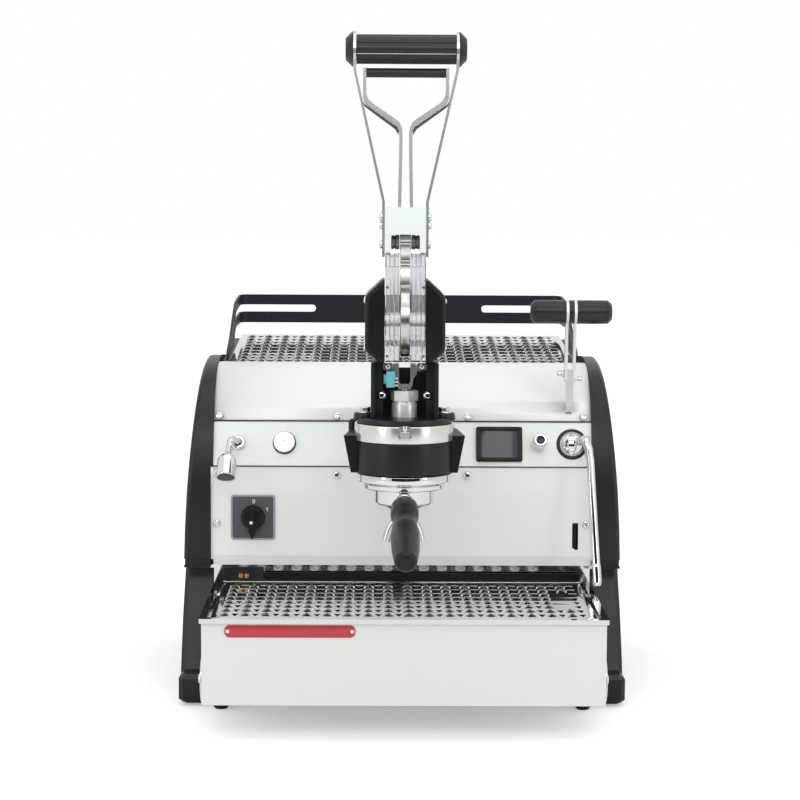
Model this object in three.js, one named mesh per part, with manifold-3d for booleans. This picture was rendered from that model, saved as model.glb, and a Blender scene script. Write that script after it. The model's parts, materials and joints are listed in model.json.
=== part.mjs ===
// A lever espresso machine with one group, as an assembly of separate pieces.
// Millimetres. X runs across the machine, Y towards its back and Z up. Places are
// measured from the middle of the machine, the front of its drip tray and the floor.
import * as THREE from 'three';
import { mergeVertices } from 'three/addons/utils/BufferGeometryUtils.js';
import Module from 'manifold-3d';

const wasm = await Module();
wasm.setup();

// Driving dimensions
const slip = 0.3; // air left between two pieces that touch
const sheet = 1.5; // thickness of the folded steel panels
const over = 4; // how far a cutter runs past what it cuts
const edge = 4; // chamfer on the larger pieces, and how deep one form runs into the next
const flank = 4.3; // how far the body's panels reach past the base panel on each side
const degree = Math.PI / 180;
const cornerSteps = 3; // straight steps in a rounded corner
const mergeShare = 1e-5; // points nearer than this share of the slip are one point

// Straight steps round a turned piece, by its kind
const pinSteps = 8;
const smallSteps = 10;
const shortSteps = 12;
const stubSteps = 14;
const plainSteps = 16;
const rodSteps = 18;
const largeSteps = 20;
const wheelSteps = 24;
const ringSteps = 28;
const hexagonSteps = 6;

// Base, drip tray and feet
const base = { half: 225, bottom: 42, height: 92.3, front: 4, returnGap: 10 };
const machine = {
  rear: 600, // back of the cup rail, from the front of the drip tray
  reach: 112, // how far the portafilter handle stands out in front of the tray
  inner: base.half + flank, // half the width of the front panels
  groupY: 100, // axis of the group, from the front of the drip tray
  columns: 10, // holes across a grate
  rows: 4, // holes from its front to its back
};
const rim = { overhang: 2.5, height: 5.4, rear: 246, width: 8, cornerShare: 1 / 4 };
const pan = { floor: 2, wall: 2, wallHeight: 30, behindReturn: 2 };
const foot = { inset: 10, frontY: 165, fromRear: 54, tip: 7, flare: 10.5, flareTop: 4.5, body: 12, bodyTop: 26,
  stem: 5 };
const basin = { abovePan: 33, wall: 1.5, radius: 6, tubCorner: 1, ledge: 6, ledgeThick: 2, drainInset: 62.5,
  drainY: 90, drain: 16, spigot: 22 };
const grate = { margin: 3.5, sunk: 2, thick: 1.5, skirt: 7, fold: 1.5, holeWidth: 26, holeDepth: 36, side: 8,
  ends: 10 };

// Side frames: legs with skids below the deck plate, bodies above it
const deck = { rise: 16, thick: 3.7, inset: 1, behindRim: -8 };
const frame = { fromRear: 6, chamfer: 5, width: 35.4 };
const leg = { bottom: 30, front: 200, heel: 19, heelBack: 8, knee: 68, kneeBack: 33, topBack: 58, splay: 1.6 };
const skid = { bottom: 3, height: 35, front: 172, length: 100, chamfer: 5 };
const bodySide = {
  front: 229, brow: 0.5, straight: 90, shoulderBack: 152, shoulderHeight: 245, rearDrop: 16, taper: 18.7,
  taperPower: 1.6, pullUp: 141, pullBack: 78, leanUp: 6 * degree, leanBack: 3 * degree, steps: 11,
};

// Front panels, hood and cup well
const sill = { behindRim: -10, bend: 12, crease: 88, height: 121, bulge: 3.5, lean: 1 };
const console_ = { height: 55.4, thick: 2, tilt: 17.9 * degree, lift: 0.5 };
const hood = { step: 0.5, depth: 85.5, rise: 65.3, entry: 72 * degree, exit: 5 * degree, steps: 14, lift: 0.9 };
const well = { rise: 5 * degree, thick: 3, drop: 9, lap: 8 };
const vents = { reach: 117, width: 90, low: 94, pitch: 14, count: 6, height: 5 };
const drainSlot = { inset: 18.3, half: 2.4, low: 20, height: 33 };
const steamSlot = { inset: 27.3, half: 5.6, below: 4, above: 15 };

// Cup shelf and rail
const cupTray = { inset: 11.8, behindHood: 6, fromRear: 6, thick: 1.5, skirt: 6, holeWidth: 26,
  holeDepth: 40, side: 8, ends: 10 };
const rail = {
  inset: 7.8, thick: 3, above: 73.5, corner: 14, cornerSteps: 6, slotDrop: 13.9, slotHeight: 9.6, height: 38.5,
  slotBehind: 170, leftEnd: -116, rightEnd: 111, footBehind: 12, footLength: 100, chinBack: 15, chinDrop: 8,
  throatBack: 50, toe: 9, lipBack: 10, lipDrop: 57.5, browBack: 100, browDrop: 6, shoulderBack: 154,
  shoulderDrop: 26.5, kneeBack: 196, kneeDrop: 45,
};

// Group, from the lip of its bell upwards
const groupLip = 274; // height of the bell's lip above the floor
const neck = { half: 36, low: 26, height: 49, gap: 2, inside: 40, room: 1 };
const head = { radius: 56.3, low: 62.3, height: 13.2, sleeve: 38, bore: 29, bottom: 11.6, rodBore: 5.2,
  notch: 6, notchDeep: 7, round: 1.2 };
const band = { radius: 56, low: 18, ear: 14, earTip: 8, earHalf: 17 };
const bell = { flare: 54.6, low: 8, lipRadius: 47, throat: 38, groove: 41.5, grooveLow: 3.5,
  grooveHigh: 10.5, gate: 15 };
const screen = { radius: 28.5, low: 8.4, thick: 2, height: 7.3 };
const cylinder = { radius: 14.5, nut: 16.6, nutHeight: 12.5, height: 36.8, bore: 5.4 };
const piston = { radius: 28.6, rise: 4, thick: 13, rod: 4.6 };
const fork = { gap: 1, height: 29.7, half: 10.2, halfDepth: 8, floor: 5, pinDrop: 6, pin: 5, pinHalf: 19.5 };
const sensor = { x: -16, halfWidth: 4.8, halfDepth: 9, rise: 41.5, height: 18 };

// Lever, from the pivot upwards
const pivot = { rise: 117, shaft: 8, shaftHalf: 43, wheel: 42.5, wheelHalf: 5.6, wheelEase: 0.8 };
const covers = { half: 22.8, gap: 6.6, wall: 2.5, below: 43.5, side: 44, reach: 76.5, steps: 11 };
const cheeks = { inner: 23.1, outer: 45.4, below: 47.5, above: 46.5, halfDepth: 40, topX: 19.5, topZ: 18, lowX: 17.5,
  lowZ: 14 };
const bracket = { inner: 24.2, outer: 38.6, halfDepth: 28, plate: 6, foot: 55, web: 8 };
const yoke = { half: 23, low: 77.5, height: 50, halfDepth: 25, notch: 16.3, notchHeight: 19.8, corner: 3.5,
  slotHalf: 9,
  slotDepth: 7 };
const camArm = { root: 20, waist: 14, tip: 8.3, rollerRise: 10.6, roller: 8.3, waistLow: 33.5,
  waistHeight: 30 };
const arms = { thick: 3, below: 6, above: 6, halfDepth: 9, eyeDrop: 23, spread: 56.4, eye: 20 };
const grip = { z: 304.5, radius: 16.6, cap: 20, capTip: 11.6, capLength: 8.8, pin: 6 };
const trigger = { drop: 26.3, radius: 5, half: 44.8, elbowDrop: 27.2, slant: 31.1, stem: 4.2, thick: 3.1,
  halfDepth: 5,
  insideYoke: 27, bridge: 6 };

// Portafilter, down from the lip of the bell
const portafilter = {
  radius: 34.4, gap: 0.4, height: 16.6, hub: 12, hubHeight: 11, lugRise: 4.2, lugThick: 5.6, lug: 40.7,
  lugHalf: 6.5,
  boss: 9, bossLength: 8, wall: 3, collar: 37, unlock: 45 * degree, spout: 5, spoutReach: 21.5, spoutHeight: 33,
  pocketFloor: 7,
};
const basket = { wall: 1, rim: 1.2, depth: 24, inset: 3 };
const handle = { slope: 13.6 * degree, drop: 8.6, neck: 7, ferrule: 9.5, bulb: 15.7, waist: 12.4, belly: 15.9,
  tail: 12.5, neckEnd: 28, bulbAt: 38, waistAt: 68, bellyAt: 108, tailAt: 152 };

// Controls, on the sloped console unless they say otherwise
const knobs = { row: 28.2 };
const display = { inset: 112.3, half: 28, low: 5.6, height: 42.8, proud: 1.5, deep: 12, border: 3.5,
  recess: 1.2, radius: 3 };
const waterButton = { inset: 85.8, radius: 12.9, length: 7, play: 0.4, back: 9 };
const menuButton = { inset: 63.8, radius: 8.8, nose: 7.6, length: 34, play: 0.4, dome: 5.4,
  domeShares: [0.8, 0.4],
  domeRiseShare: 0.7, back: 10, shankShare: 1 / 4 };
const steamBall = { inset: 23.8, radius: 15.5, sunk: 3, play: 1.4, cupWall: 4.2, cupFloor: 4, row: 27.6 };
const wand = {
  radius: 4.3, tip: 5, tipLength: 24, tipRound: 2.8, sideways: 13.5, forward: 33.3, rise: 11.7,
  bendSideways: 1.5,
  bendForward: 4.5, bendDrop: 10.5, shoulderSideways: 1, shoulderForward: 3.5, shoulderDrop: 16,
  spread: 7.5, lean: 29,
  drop: 146,
};
const waterFlange = { inset: 29.8, radius: 9, proud: 5, bore: 5.3, stub: 5 };
const spout = {
  radius: 4, nozzle: 10.7, nozzleLength: 32, nozzleTaper: 6, collar: 15, collarPlay: 0.45, sideways: 3.5,
  forward: 25.1,
  rise: 6.5, dropSideways: 2, dropForward: 3.5, drop: 16.5, spread: 2, lean: 2, fall: 34,
};
const knobPlate = { inset: 48.3, rise: 58.8, half: 26.8, halfHeight: 27.5, thick: 2, radius: 4, bore: 5 };
const powerKnob = { radius: 14.8, length: 17, shaft: 4.6, skirt: 8.5, ridge: 5, ridgeProud: 4,
  pointer: 13.5, tail: 6 };
const steamLever = {
  behind: 13.5, above: 9.3, boss: 5.5, pin: 2.5, bladeHalf: 4.2, bladeDepth: 5, forward: 18, climb: 13,
  blockRise: 40,
  blockHeight: 15, blockHalf: 6.5, blockDepth: 6, gripRise: 126, gripForward: 10, stripX: 4.9, stripThick: 3.2,
  stripHalf: 6, eye: 14.9, gripRadius: 14.4, gripHalf: 49, gripChamfer: 5, gripPin: 5,
};
const valve = { half: 9, behind: 64, drop: 43, height: 30, cheekDrop: 19, stand: 12 };

// Inside the body: boilers, pump and control box on the deck plate
const boiler = { radius: 58, inset: 79.3, fromRear: 124, rise: 102, cap: 12, wall: 4, port: 12, cradleInset: 26,
  cradleWidth: 45 };
const brew = { radius: 42, behindNeck: 50, below: 64, above: 23, flange: 16, post: 20, dome: 8 };
const pump = { inset: 79.3, behindSill: 44, rise: 45, radius: 30, half: 60, motor: 36, foot: 24, saddle: 12 };
const controls = { fromBrew: 18, inset: 49.3, behindSill: 64, depth: 80, height: 102 };

// Places that follow from them
const baseTop = base.bottom + base.height;
const rimHalf = base.half + rim.overhang;
const rimTop = baseTop + slip + rim.height;
const returnEnd = rim.rear - base.returnGap;
const inner = machine.inner + slip;
const outer = inner + frame.width;
const frameRear = machine.rear - frame.fromRear;
const deckBottom = rimTop + deck.rise;
const deckTop = deckBottom + deck.thick;
const floor = deckTop + slip; // what stands on the deck plate starts here
const sillToe = rim.rear + sill.behindRim;
const sillFace = sillToe - sill.bulge;
const sillHead = sillToe - sill.lean;
const sillTop = floor + sill.height;
const consoleTop = sillTop + console_.height * Math.cos(console_.tilt);
const hoodStart = sillHead + console_.height * Math.sin(console_.tilt) + hood.step;
const hoodEnd = hoodStart + hood.depth;
const crown = consoleTop + hood.rise;
const wellHeight = (y) => crown - well.drop + (y - hoodEnd) * Math.tan(well.rise);
const neckEnd = sillHead + neck.inside;
const headTop = head.low + head.height;
const pivotZ = headTop + pivot.rise;
const displayX = machine.inner - display.inset;
const waterButtonX = waterButton.inset - machine.inner;
const menuButtonX = machine.inner - menuButton.inset;
const steamBallX = machine.inner - steamBall.inset;
const waterFlangeX = waterFlange.inset - machine.inner;
const switchX = knobPlate.inset - machine.inner;
const steamSlotX = machine.inner - steamSlot.inset;
const steamPivot = { y: hoodStart + steamLever.behind, z: consoleTop + steamLever.above };

// Builds a clean closed mesh: shared points merged, slivers dropped, faces outwards
function closed(geometry) {
  geometry.deleteAttribute('normal');
  geometry.deleteAttribute('uv');
  const merged = mergeVertices(geometry, slip * mergeShare);
  const at = merged.getAttribute('position');
  const old = merged.index.array;
  const faces = [];
  const a = new THREE.Vector3(), b = new THREE.Vector3(), c = new THREE.Vector3();
  let volume = 0;
  for (let i = 0; i < old.length; i += 3) {
    if (old[i] === old[i + 1] || old[i + 1] === old[i + 2] || old[i] === old[i + 2]) continue;
    faces.push(old[i], old[i + 1], old[i + 2]);
    a.fromBufferAttribute(at, old[i]);
    b.fromBufferAttribute(at, old[i + 1]);
    c.fromBufferAttribute(at, old[i + 2]);
    volume += a.dot(b.cross(c));
  }
  if (volume < 0) faces.reverse();
  merged.setIndex(faces);
  return merged;
}

function toSolid(geometry) {
  return new wasm.Manifold(new wasm.Mesh({
    numProp: 3,
    vertProperties: new Float32Array(geometry.getAttribute('position').array),
    triVerts: new Uint32Array(geometry.index.array),
  }));
}

function toGeometry(solid) {
  const mesh = solid.getMesh();
  const geometry = new THREE.BufferGeometry();
  geometry.setAttribute('position', new THREE.BufferAttribute(new Float32Array(mesh.vertProperties), 3));
  geometry.setIndex(Array.from(mesh.triVerts));
  return geometry;
}

const join = (first, ...rest) => toGeometry(rest.reduce((sum, g) => sum.add(toSolid(g)), toSolid(first)));
const cut = (first, ...rest) => toGeometry(rest.reduce((sum, g) => sum.subtract(toSolid(g)), toSolid(first)));
const common = (first, other) => toGeometry(toSolid(first).intersect(toSolid(other)));

const outline = (points) => new THREE.Shape(points.map(([x, y]) => new THREE.Vector2(x, y)));

// Extrusions of an outline: along X from (Y, Z), along Y from (X, Z), along Z from (X, Y)
function alongX(shape, low, high, curveSegments = cornerSteps) {
  const geometry = new THREE.ExtrudeGeometry(shape, { depth: high - low, bevelEnabled: false, curveSegments });
  const turn = new THREE.Matrix4().makeBasis(
    new THREE.Vector3(0, 1, 0), new THREE.Vector3(0, 0, 1), new THREE.Vector3(1, 0, 0));
  return closed(geometry.applyMatrix4(turn).translate(low, 0, 0));
}

function alongY(shape, low, high) {
  const geometry = new THREE.ExtrudeGeometry(shape, { depth: high - low, bevelEnabled: false,
    curveSegments: cornerSteps });
  return closed(geometry.rotateX(Math.PI / 2).translate(0, high, 0));
}

function alongZ(shape, low, high) {
  const geometry = new THREE.ExtrudeGeometry(shape, { depth: high - low, bevelEnabled: false,
    curveSegments: cornerSteps });
  return closed(geometry.translate(0, 0, low));
}

function block(x0, x1, y0, y1, z0, z1) {
  const geometry = new THREE.BoxGeometry(x1 - x0, y1 - y0, z1 - z0);
  return closed(geometry.translate((x0 + x1) / 2, (y0 + y1) / 2, (z0 + z1) / 2));
}

// Turned pieces: points are (radius, place along the axis)
function turnedZ(points, sides = 32) {
  const profile = points.map(([r, z]) => new THREE.Vector2(r, z));
  return closed(new THREE.LatheGeometry(profile, sides).rotateX(Math.PI / 2));
}

function turnedX(points, sides = 24) {
  const profile = points.map(([r, x]) => new THREE.Vector2(r, x));
  return closed(new THREE.LatheGeometry(profile, sides).rotateZ(-Math.PI / 2));
}

// A round post on the Z axis
function round(radius, low, high, steps) {
  return turnedZ([[0, low], [radius, low], [radius, high], [0, high]], steps);
}

// Turned pieces on a console: the axis points out of the console, towards -Y
function turnedOut(points, sides = 24) {
  const profile = points.map(([r, y]) => new THREE.Vector2(r, y));
  return closed(new THREE.LatheGeometry(profile, sides).rotateX(Math.PI));
}

const ringed = (points) => [...points, points[0]];

function roundRect(half, halfHeight, radius, centre = [0, 0]) {
  const [x, y] = centre;
  const shape = new THREE.Shape();
  shape.moveTo(x - half + radius, y - halfHeight);
  shape.lineTo(x + half - radius, y - halfHeight);
  shape.absarc(x + half - radius, y - halfHeight + radius, radius, -Math.PI / 2, 0);
  shape.lineTo(x + half, y + halfHeight - radius);
  shape.absarc(x + half - radius, y + halfHeight - radius, radius, 0, Math.PI / 2);
  shape.lineTo(x - half + radius, y + halfHeight);
  shape.absarc(x - half + radius, y + halfHeight - radius, radius, Math.PI / 2, Math.PI);
  shape.lineTo(x - half, y - halfHeight + radius);
  shape.absarc(x - half + radius, y - halfHeight + radius, radius, Math.PI, Math.PI * 1.5);
  return shape;
}

// A solid through a stack of closed rings with equal counts, capped by fans
function loft(rings) {
  const count = rings[0].length;
  const points = rings.flat().flatMap((p) => [p.x, p.y, p.z]);
  const faces = [];
  for (let r = 0; r + 1 < rings.length; r += 1) {
    for (let i = 0; i < count; i += 1) {
      const a = r * count + i, b = r * count + ((i + 1) % count);
      faces.push(a, b, b + count, a, b + count, a + count);
    }
  }
  const last = (rings.length - 1) * count;
  for (let i = 1; i + 1 < count; i += 1) {
    faces.push(0, i + 1, i, last, last + i, last + i + 1);
  }
  const geometry = new THREE.BufferGeometry();
  geometry.setAttribute('position', new THREE.Float32BufferAttribute(points, 3));
  geometry.setIndex(faces);
  return closed(geometry);
}

// A round rod along a smooth path
function rod(points, radius, sides = 10, steps = 16) {
  const path = new THREE.CatmullRomCurve3(points, false, 'centripetal');
  const circle = new THREE.Shape();
  circle.absarc(0, 0, radius, 0, Math.PI * 2);
  const section = new THREE.Shape(circle.getSpacedPoints(sides).slice(0, sides));
  return closed(new THREE.ExtrudeGeometry(section, { steps, extrudePath: path, bevelEnabled: false }));
}

const mirrored = (geometry) => {
  const flipped = geometry.clone().scale(-1, 1, 1);
  return closed(flipped);
};

const finishes = {
  black: { color: 0x1d2022, roughness: 0.5, metalness: 0.2 },
  polished: { color: 0xdcdedd, roughness: 0.12, metalness: 1 },
  brushed: { color: 0xd3d6d3, roughness: 0.35, metalness: 1 },
  chrome: { color: 0xe8e9ea, roughness: 0.06, metalness: 1 },
  aluminium: { color: 0xdde4e6, roughness: 0.4, metalness: 0.9 },
  brass: { color: 0xb08a45, roughness: 0.3, metalness: 1 },
  rubber: { color: 0x17181a, roughness: 0.9, metalness: 0 },
  grip: { color: 0x25282a, roughness: 0.45, metalness: 0 },
  clear: { color: 0xdfe7f2, roughness: 0.05, metalness: 0, transparent: true, opacity: 0.35 },
  teal: { color: 0x64b2ba, roughness: 0.5, metalness: 0 },
  grey: { color: 0x54585e, roughness: 0.5, metalness: 0.3 },
};

const whole = new THREE.Group();
const assembly = new THREE.Group();
assembly.position.y = -(machine.rear - machine.reach) / 2;
whole.add(assembly);

function add(name, geometry, finish, parent = assembly) {
  const mesh = new THREE.Mesh(geometry, new THREE.MeshStandardMaterial(finishes[finish]));
  mesh.name = name;
  parent.add(mesh);
  return mesh;
}

// Base: pan, feet, side legs and folded front panel

function addBase() {
  const frontHalf = base.half - sheet - slip;
  const step = returnEnd + pan.behindReturn;
  const plan = (inset) => outline([
    [-frontHalf + inset, base.front + sheet + slip + inset],
    [frontHalf - inset, base.front + sheet + slip + inset],
    [frontHalf - inset, step + inset],
    [machine.inner - inset, step + inset],
    [machine.inner - inset, frameRear - inset],
    [-machine.inner + inset, frameRear - inset],
    [-machine.inner + inset, step + inset],
    [-frontHalf + inset, step + inset],
  ]);
  const body = alongZ(plan(0), base.bottom, base.bottom + pan.wallHeight);
  const hollow = alongZ(plan(pan.wall), base.bottom + pan.floor, base.bottom + pan.wallHeight + over);
  add('base_pan', cut(body, hollow), 'brushed');

  const folded = outline([
    [-base.half, base.front], [base.half, base.front], [base.half, returnEnd],
    [base.half - sheet, returnEnd], [base.half - sheet, base.front + sheet],
    [-base.half + sheet, base.front + sheet], [-base.half + sheet, returnEnd],
    [-base.half, returnEnd],
  ]);
  add('front_base_panel', alongZ(folded, base.bottom, baseTop), 'brushed');

  const profile = [[0, 0], [foot.tip, 0], [foot.flare, foot.flareTop], [foot.body, foot.flareTop + foot.tip],
    [foot.body, foot.bodyTop], [foot.stem, foot.bodyTop],
    [foot.stem, base.bottom - slip], [0, base.bottom - slip]];
  const x = base.half - foot.inset;
  for (const [end, y] of [['front', foot.frontY], ['rear', frameRear - foot.fromRear]]) {
    for (const [side, way] of [['left', -1], ['right', 1]]) {
      add(`${end}_${side}_foot`, turnedZ(profile, stubSteps), 'rubber').position.set(way * x, y, 0);
    }
  }
}

// One side section at a level, as six points round its plan, lower by the drop at its rear
function sideRing({ x, y, z, drop = 0 }, rear, chamfer) {
  const room = Math.min(chamfer, (rear - y) / 3);
  return [
    [inner, y], [x - chamfer, y], [x, y + room], [x, rear - room], [x - chamfer, rear], [inner, rear],
  ].map(([px, py]) => new THREE.Vector3(px, py, z - (drop * (py - y)) / (rear - y)));
}

// Fronts and half widths of a body side, level by level: upright at first, then swept back and narrowing,
// with its top falling towards the rear
function bodyLevels() {
  const b = bodySide;
  const browY = b.front - b.brow;
  const shoulder = new THREE.Vector2(browY + b.shoulderBack, floor + b.shoulderHeight);
  const sweep = new THREE.CubicBezierCurve(
    new THREE.Vector2(browY, floor + b.straight),
    new THREE.Vector2(browY + b.pullUp * Math.sin(b.leanUp),
      floor + b.straight + b.pullUp * Math.cos(b.leanUp)),
    new THREE.Vector2(shoulder.x - b.pullBack * Math.cos(b.leanBack),
      shoulder.y - b.pullBack * Math.sin(b.leanBack)),
    shoulder,
  );
  return [new THREE.Vector2(b.front, floor), ...sweep.getPoints(b.steps)].map((p) => {
    const share = (p.y - floor) / b.shoulderHeight;
    return { z: p.y, y: p.x, x: outer - b.taper * share ** b.taperPower, drop: b.rearDrop * share };
  });
}

function addSides() {
  const upper = loft(bodyLevels().map((level) => sideRing(level, frameRear, frame.chamfer)));
  add('right_body_side', upper, 'black');
  add('left_body_side', mirrored(upper), 'black');
  const front = leg.front;
  const splayed = outer + leg.splay;
  const legRings = [
    { z: leg.bottom, y: front, x: splayed },
    { z: leg.bottom + leg.heel, y: front + leg.heelBack, x: splayed },
    { z: leg.bottom + leg.knee, y: front + leg.kneeBack, x: splayed },
    { z: deckBottom - slip, y: front + leg.topBack, x: outer },
  ].map((level) => sideRing(level, frameRear, frame.chamfer));
  const { bottom, chamfer, length } = skid;
  const top = bottom + skid.height;
  const shoe = (y) => loft([
    { z: bottom, x: splayed - chamfer, y: y + chamfer, rear: y + length - chamfer },
    { z: bottom + chamfer, x: splayed, y, rear: y + length },
    { z: top - chamfer, x: splayed, y, rear: y + length },
    { z: top, x: splayed - chamfer, y: y + chamfer, rear: y + length - chamfer },
  ].map((level) => sideRing(level, level.rear, chamfer)));
  const lower = join(loft(legRings), shoe(skid.front), shoe(frameRear - length));
  add('right_base_side', lower, 'black');
  add('left_base_side', mirrored(lower), 'black');
}

// A folded plate's edge: a thin wall under the plate's outline
function foldedEdge(half, halfLength, middle, radius, fold, low, high) {
  const shape = roundRect(half, halfLength, radius, [0, middle]);
  shape.holes.push(roundRect(half - fold, halfLength - fold, radius / 2, [0, middle]));
  return alongZ(shape, low, high);
}

// Drip tray: polished basin hung by its rim, stepped in under a ledge, and the lift-out grate on the ledge
function addDripTray() {
  const half = rimHalf - rim.width;
  const middle = rim.rear / 2;
  const deep = middle - rim.width;
  const basinFloor = base.bottom + basin.abovePan;
  const rimPlate = alongZ(roundRect(rimHalf, middle, rim.width * rim.cornerShare, [0, middle]),
    baseTop + slip, rimTop);
  const grateTop = rimTop - grate.sunk;
  const shelf = grateTop - grate.skirt - slip;
  const layer = (inset, corner, low, high) =>
    alongZ(roundRect(half - inset, deep - inset, corner, [0, middle]), low, high);
  const collar = layer(-basin.wall, basin.radius, shelf - basin.ledgeThick, rimTop - slip);
  const tub = layer(basin.ledge - basin.wall, basin.tubCorner + basin.wall, basinFloor, shelf);
  const hollows = [layer(basin.ledge, basin.tubCorner, basinFloor + basin.wall, rimTop + over),
    layer(0, basin.radius, shelf, rimTop + over)];
  const drainX = basin.drainInset - rimHalf;
  const spigot = round(basin.drain + basin.wall, basinFloor - basin.spigot + slip, basinFloor + basin.wall,
    stubSteps).translate(drainX, basin.drainY, 0);
  const drain = round(basin.drain, basinFloor - basin.spigot - over, basinFloor + over, stubSteps)
    .translate(drainX, basin.drainY, 0);
  add('drip_basin', cut(join(rimPlate, collar, tub, spigot), ...hollows, drain), 'polished');

  const plateHalf = half - grate.margin;
  const halfLength = middle - rim.width - grate.margin;
  const corner = basin.radius - grate.margin;
  const plate = alongZ(roundRect(plateHalf, halfLength, corner, [0, middle]), grateTop - grate.thick, grateTop);
  const holes = triangles(grate, plateHalf - grate.side, middle - halfLength + grate.ends,
    middle + halfLength - grate.ends, grateTop);
  const skirt = foldedEdge(plateHalf, halfLength, middle, corner, grate.fold, grateTop - grate.skirt,
    grateTop - grate.thick / 2);
  add('drip_grate', join(cut(plate, holes), skirt), 'polished');
}

// The corners of a three-sided prism's faces: floor and roof, then the three sides
const prismFaces = [0, 2, 1, 3, 4, 5, 0, 1, 4, 0, 4, 3, 1, 2, 5, 1, 5, 4, 2, 0, 3, 2, 3, 5];

// Cutters for rows of triangles, pointing back and forward in turn
function triangles(pattern, half, front, rear, level) {
  const { columns, rows } = machine;
  const { holeWidth, holeDepth } = pattern;
  const dx = (2 * half) / columns;
  const dy = (rear - front) / rows;
  const points = [];
  const faces = [];
  for (let i = 0; i < columns; i += 1) {
    for (let j = 0; j < rows; j += 1) {
      const x = -half + (i + 1 / 2) * dx;
      const y = front + (j + 1 / 2) * dy;
      const way = i % 2 ? -1 : 1;
      const first = points.length / 3;
      for (const z of [level - over, level + over]) {
        points.push(x - (way * holeWidth) / 2, y - (way * holeDepth) / 2, z);
        points.push(x + (way * holeWidth) / 2, y - (way * holeDepth) / 2, z, x, y + (way * holeDepth) / 2, z);
      }
      faces.push(...prismFaces.map((k) => first + k));
    }
  }
  const geometry = new THREE.BufferGeometry();
  geometry.setAttribute('position', new THREE.Float32BufferAttribute(points, 3));
  geometry.setIndex(faces);
  return closed(geometry);
}

// Body: deck plate, splash wall, sill panel, console, hood, well, rear panel

const consoleFrame = new THREE.Group();
consoleFrame.position.set(0, sillHead, sillTop + console_.lift);
consoleFrame.rotation.x = -console_.tilt;
assembly.add(consoleFrame);
consoleFrame.updateMatrix();

// A place given on the console (across, out of its face, up its slope) in the machine's own directions
function fromConsole(x, out, up) {
  return new THREE.Vector3(x, -out, up).applyMatrix4(consoleFrame.matrix);
}

function strip(points, thickness) {
  return outline([...points, ...points.slice().reverse().map(([y, z]) => [y + thickness, z])]);
}

function disc(radius, x, z, low, high, steps = plainSteps) {
  const circle = new THREE.Shape();
  circle.absarc(x, z, radius, 0, Math.PI * 2);
  return alongY(new THREE.Shape(circle.getSpacedPoints(steps).slice(0, steps)), low, high);
}

// The hood's line: it leaves the console's top at one slope and meets the well at another
function hoodArc(offset) {
  const turn = hood.entry - hood.exit;
  const start = new THREE.Vector2(hoodStart, consoleTop);
  const end = new THREE.Vector2(hoodEnd, crown);
  const radius = start.distanceTo(end) / (2 * Math.sin(turn / 2));
  const chord = Math.atan2(end.y - start.y, end.x - start.x);
  const first = chord + turn / 2;
  const centre = new THREE.Vector2(start.x + radius * Math.sin(first), start.y - radius * Math.cos(first));
  return Array.from({ length: hood.steps + 1 }, (_, i) => {
    const slope = first - (turn * i) / hood.steps;
    return [centre.x - (radius - offset) * Math.sin(slope), centre.y + (radius - offset) * Math.cos(slope)];
  });
}

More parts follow.
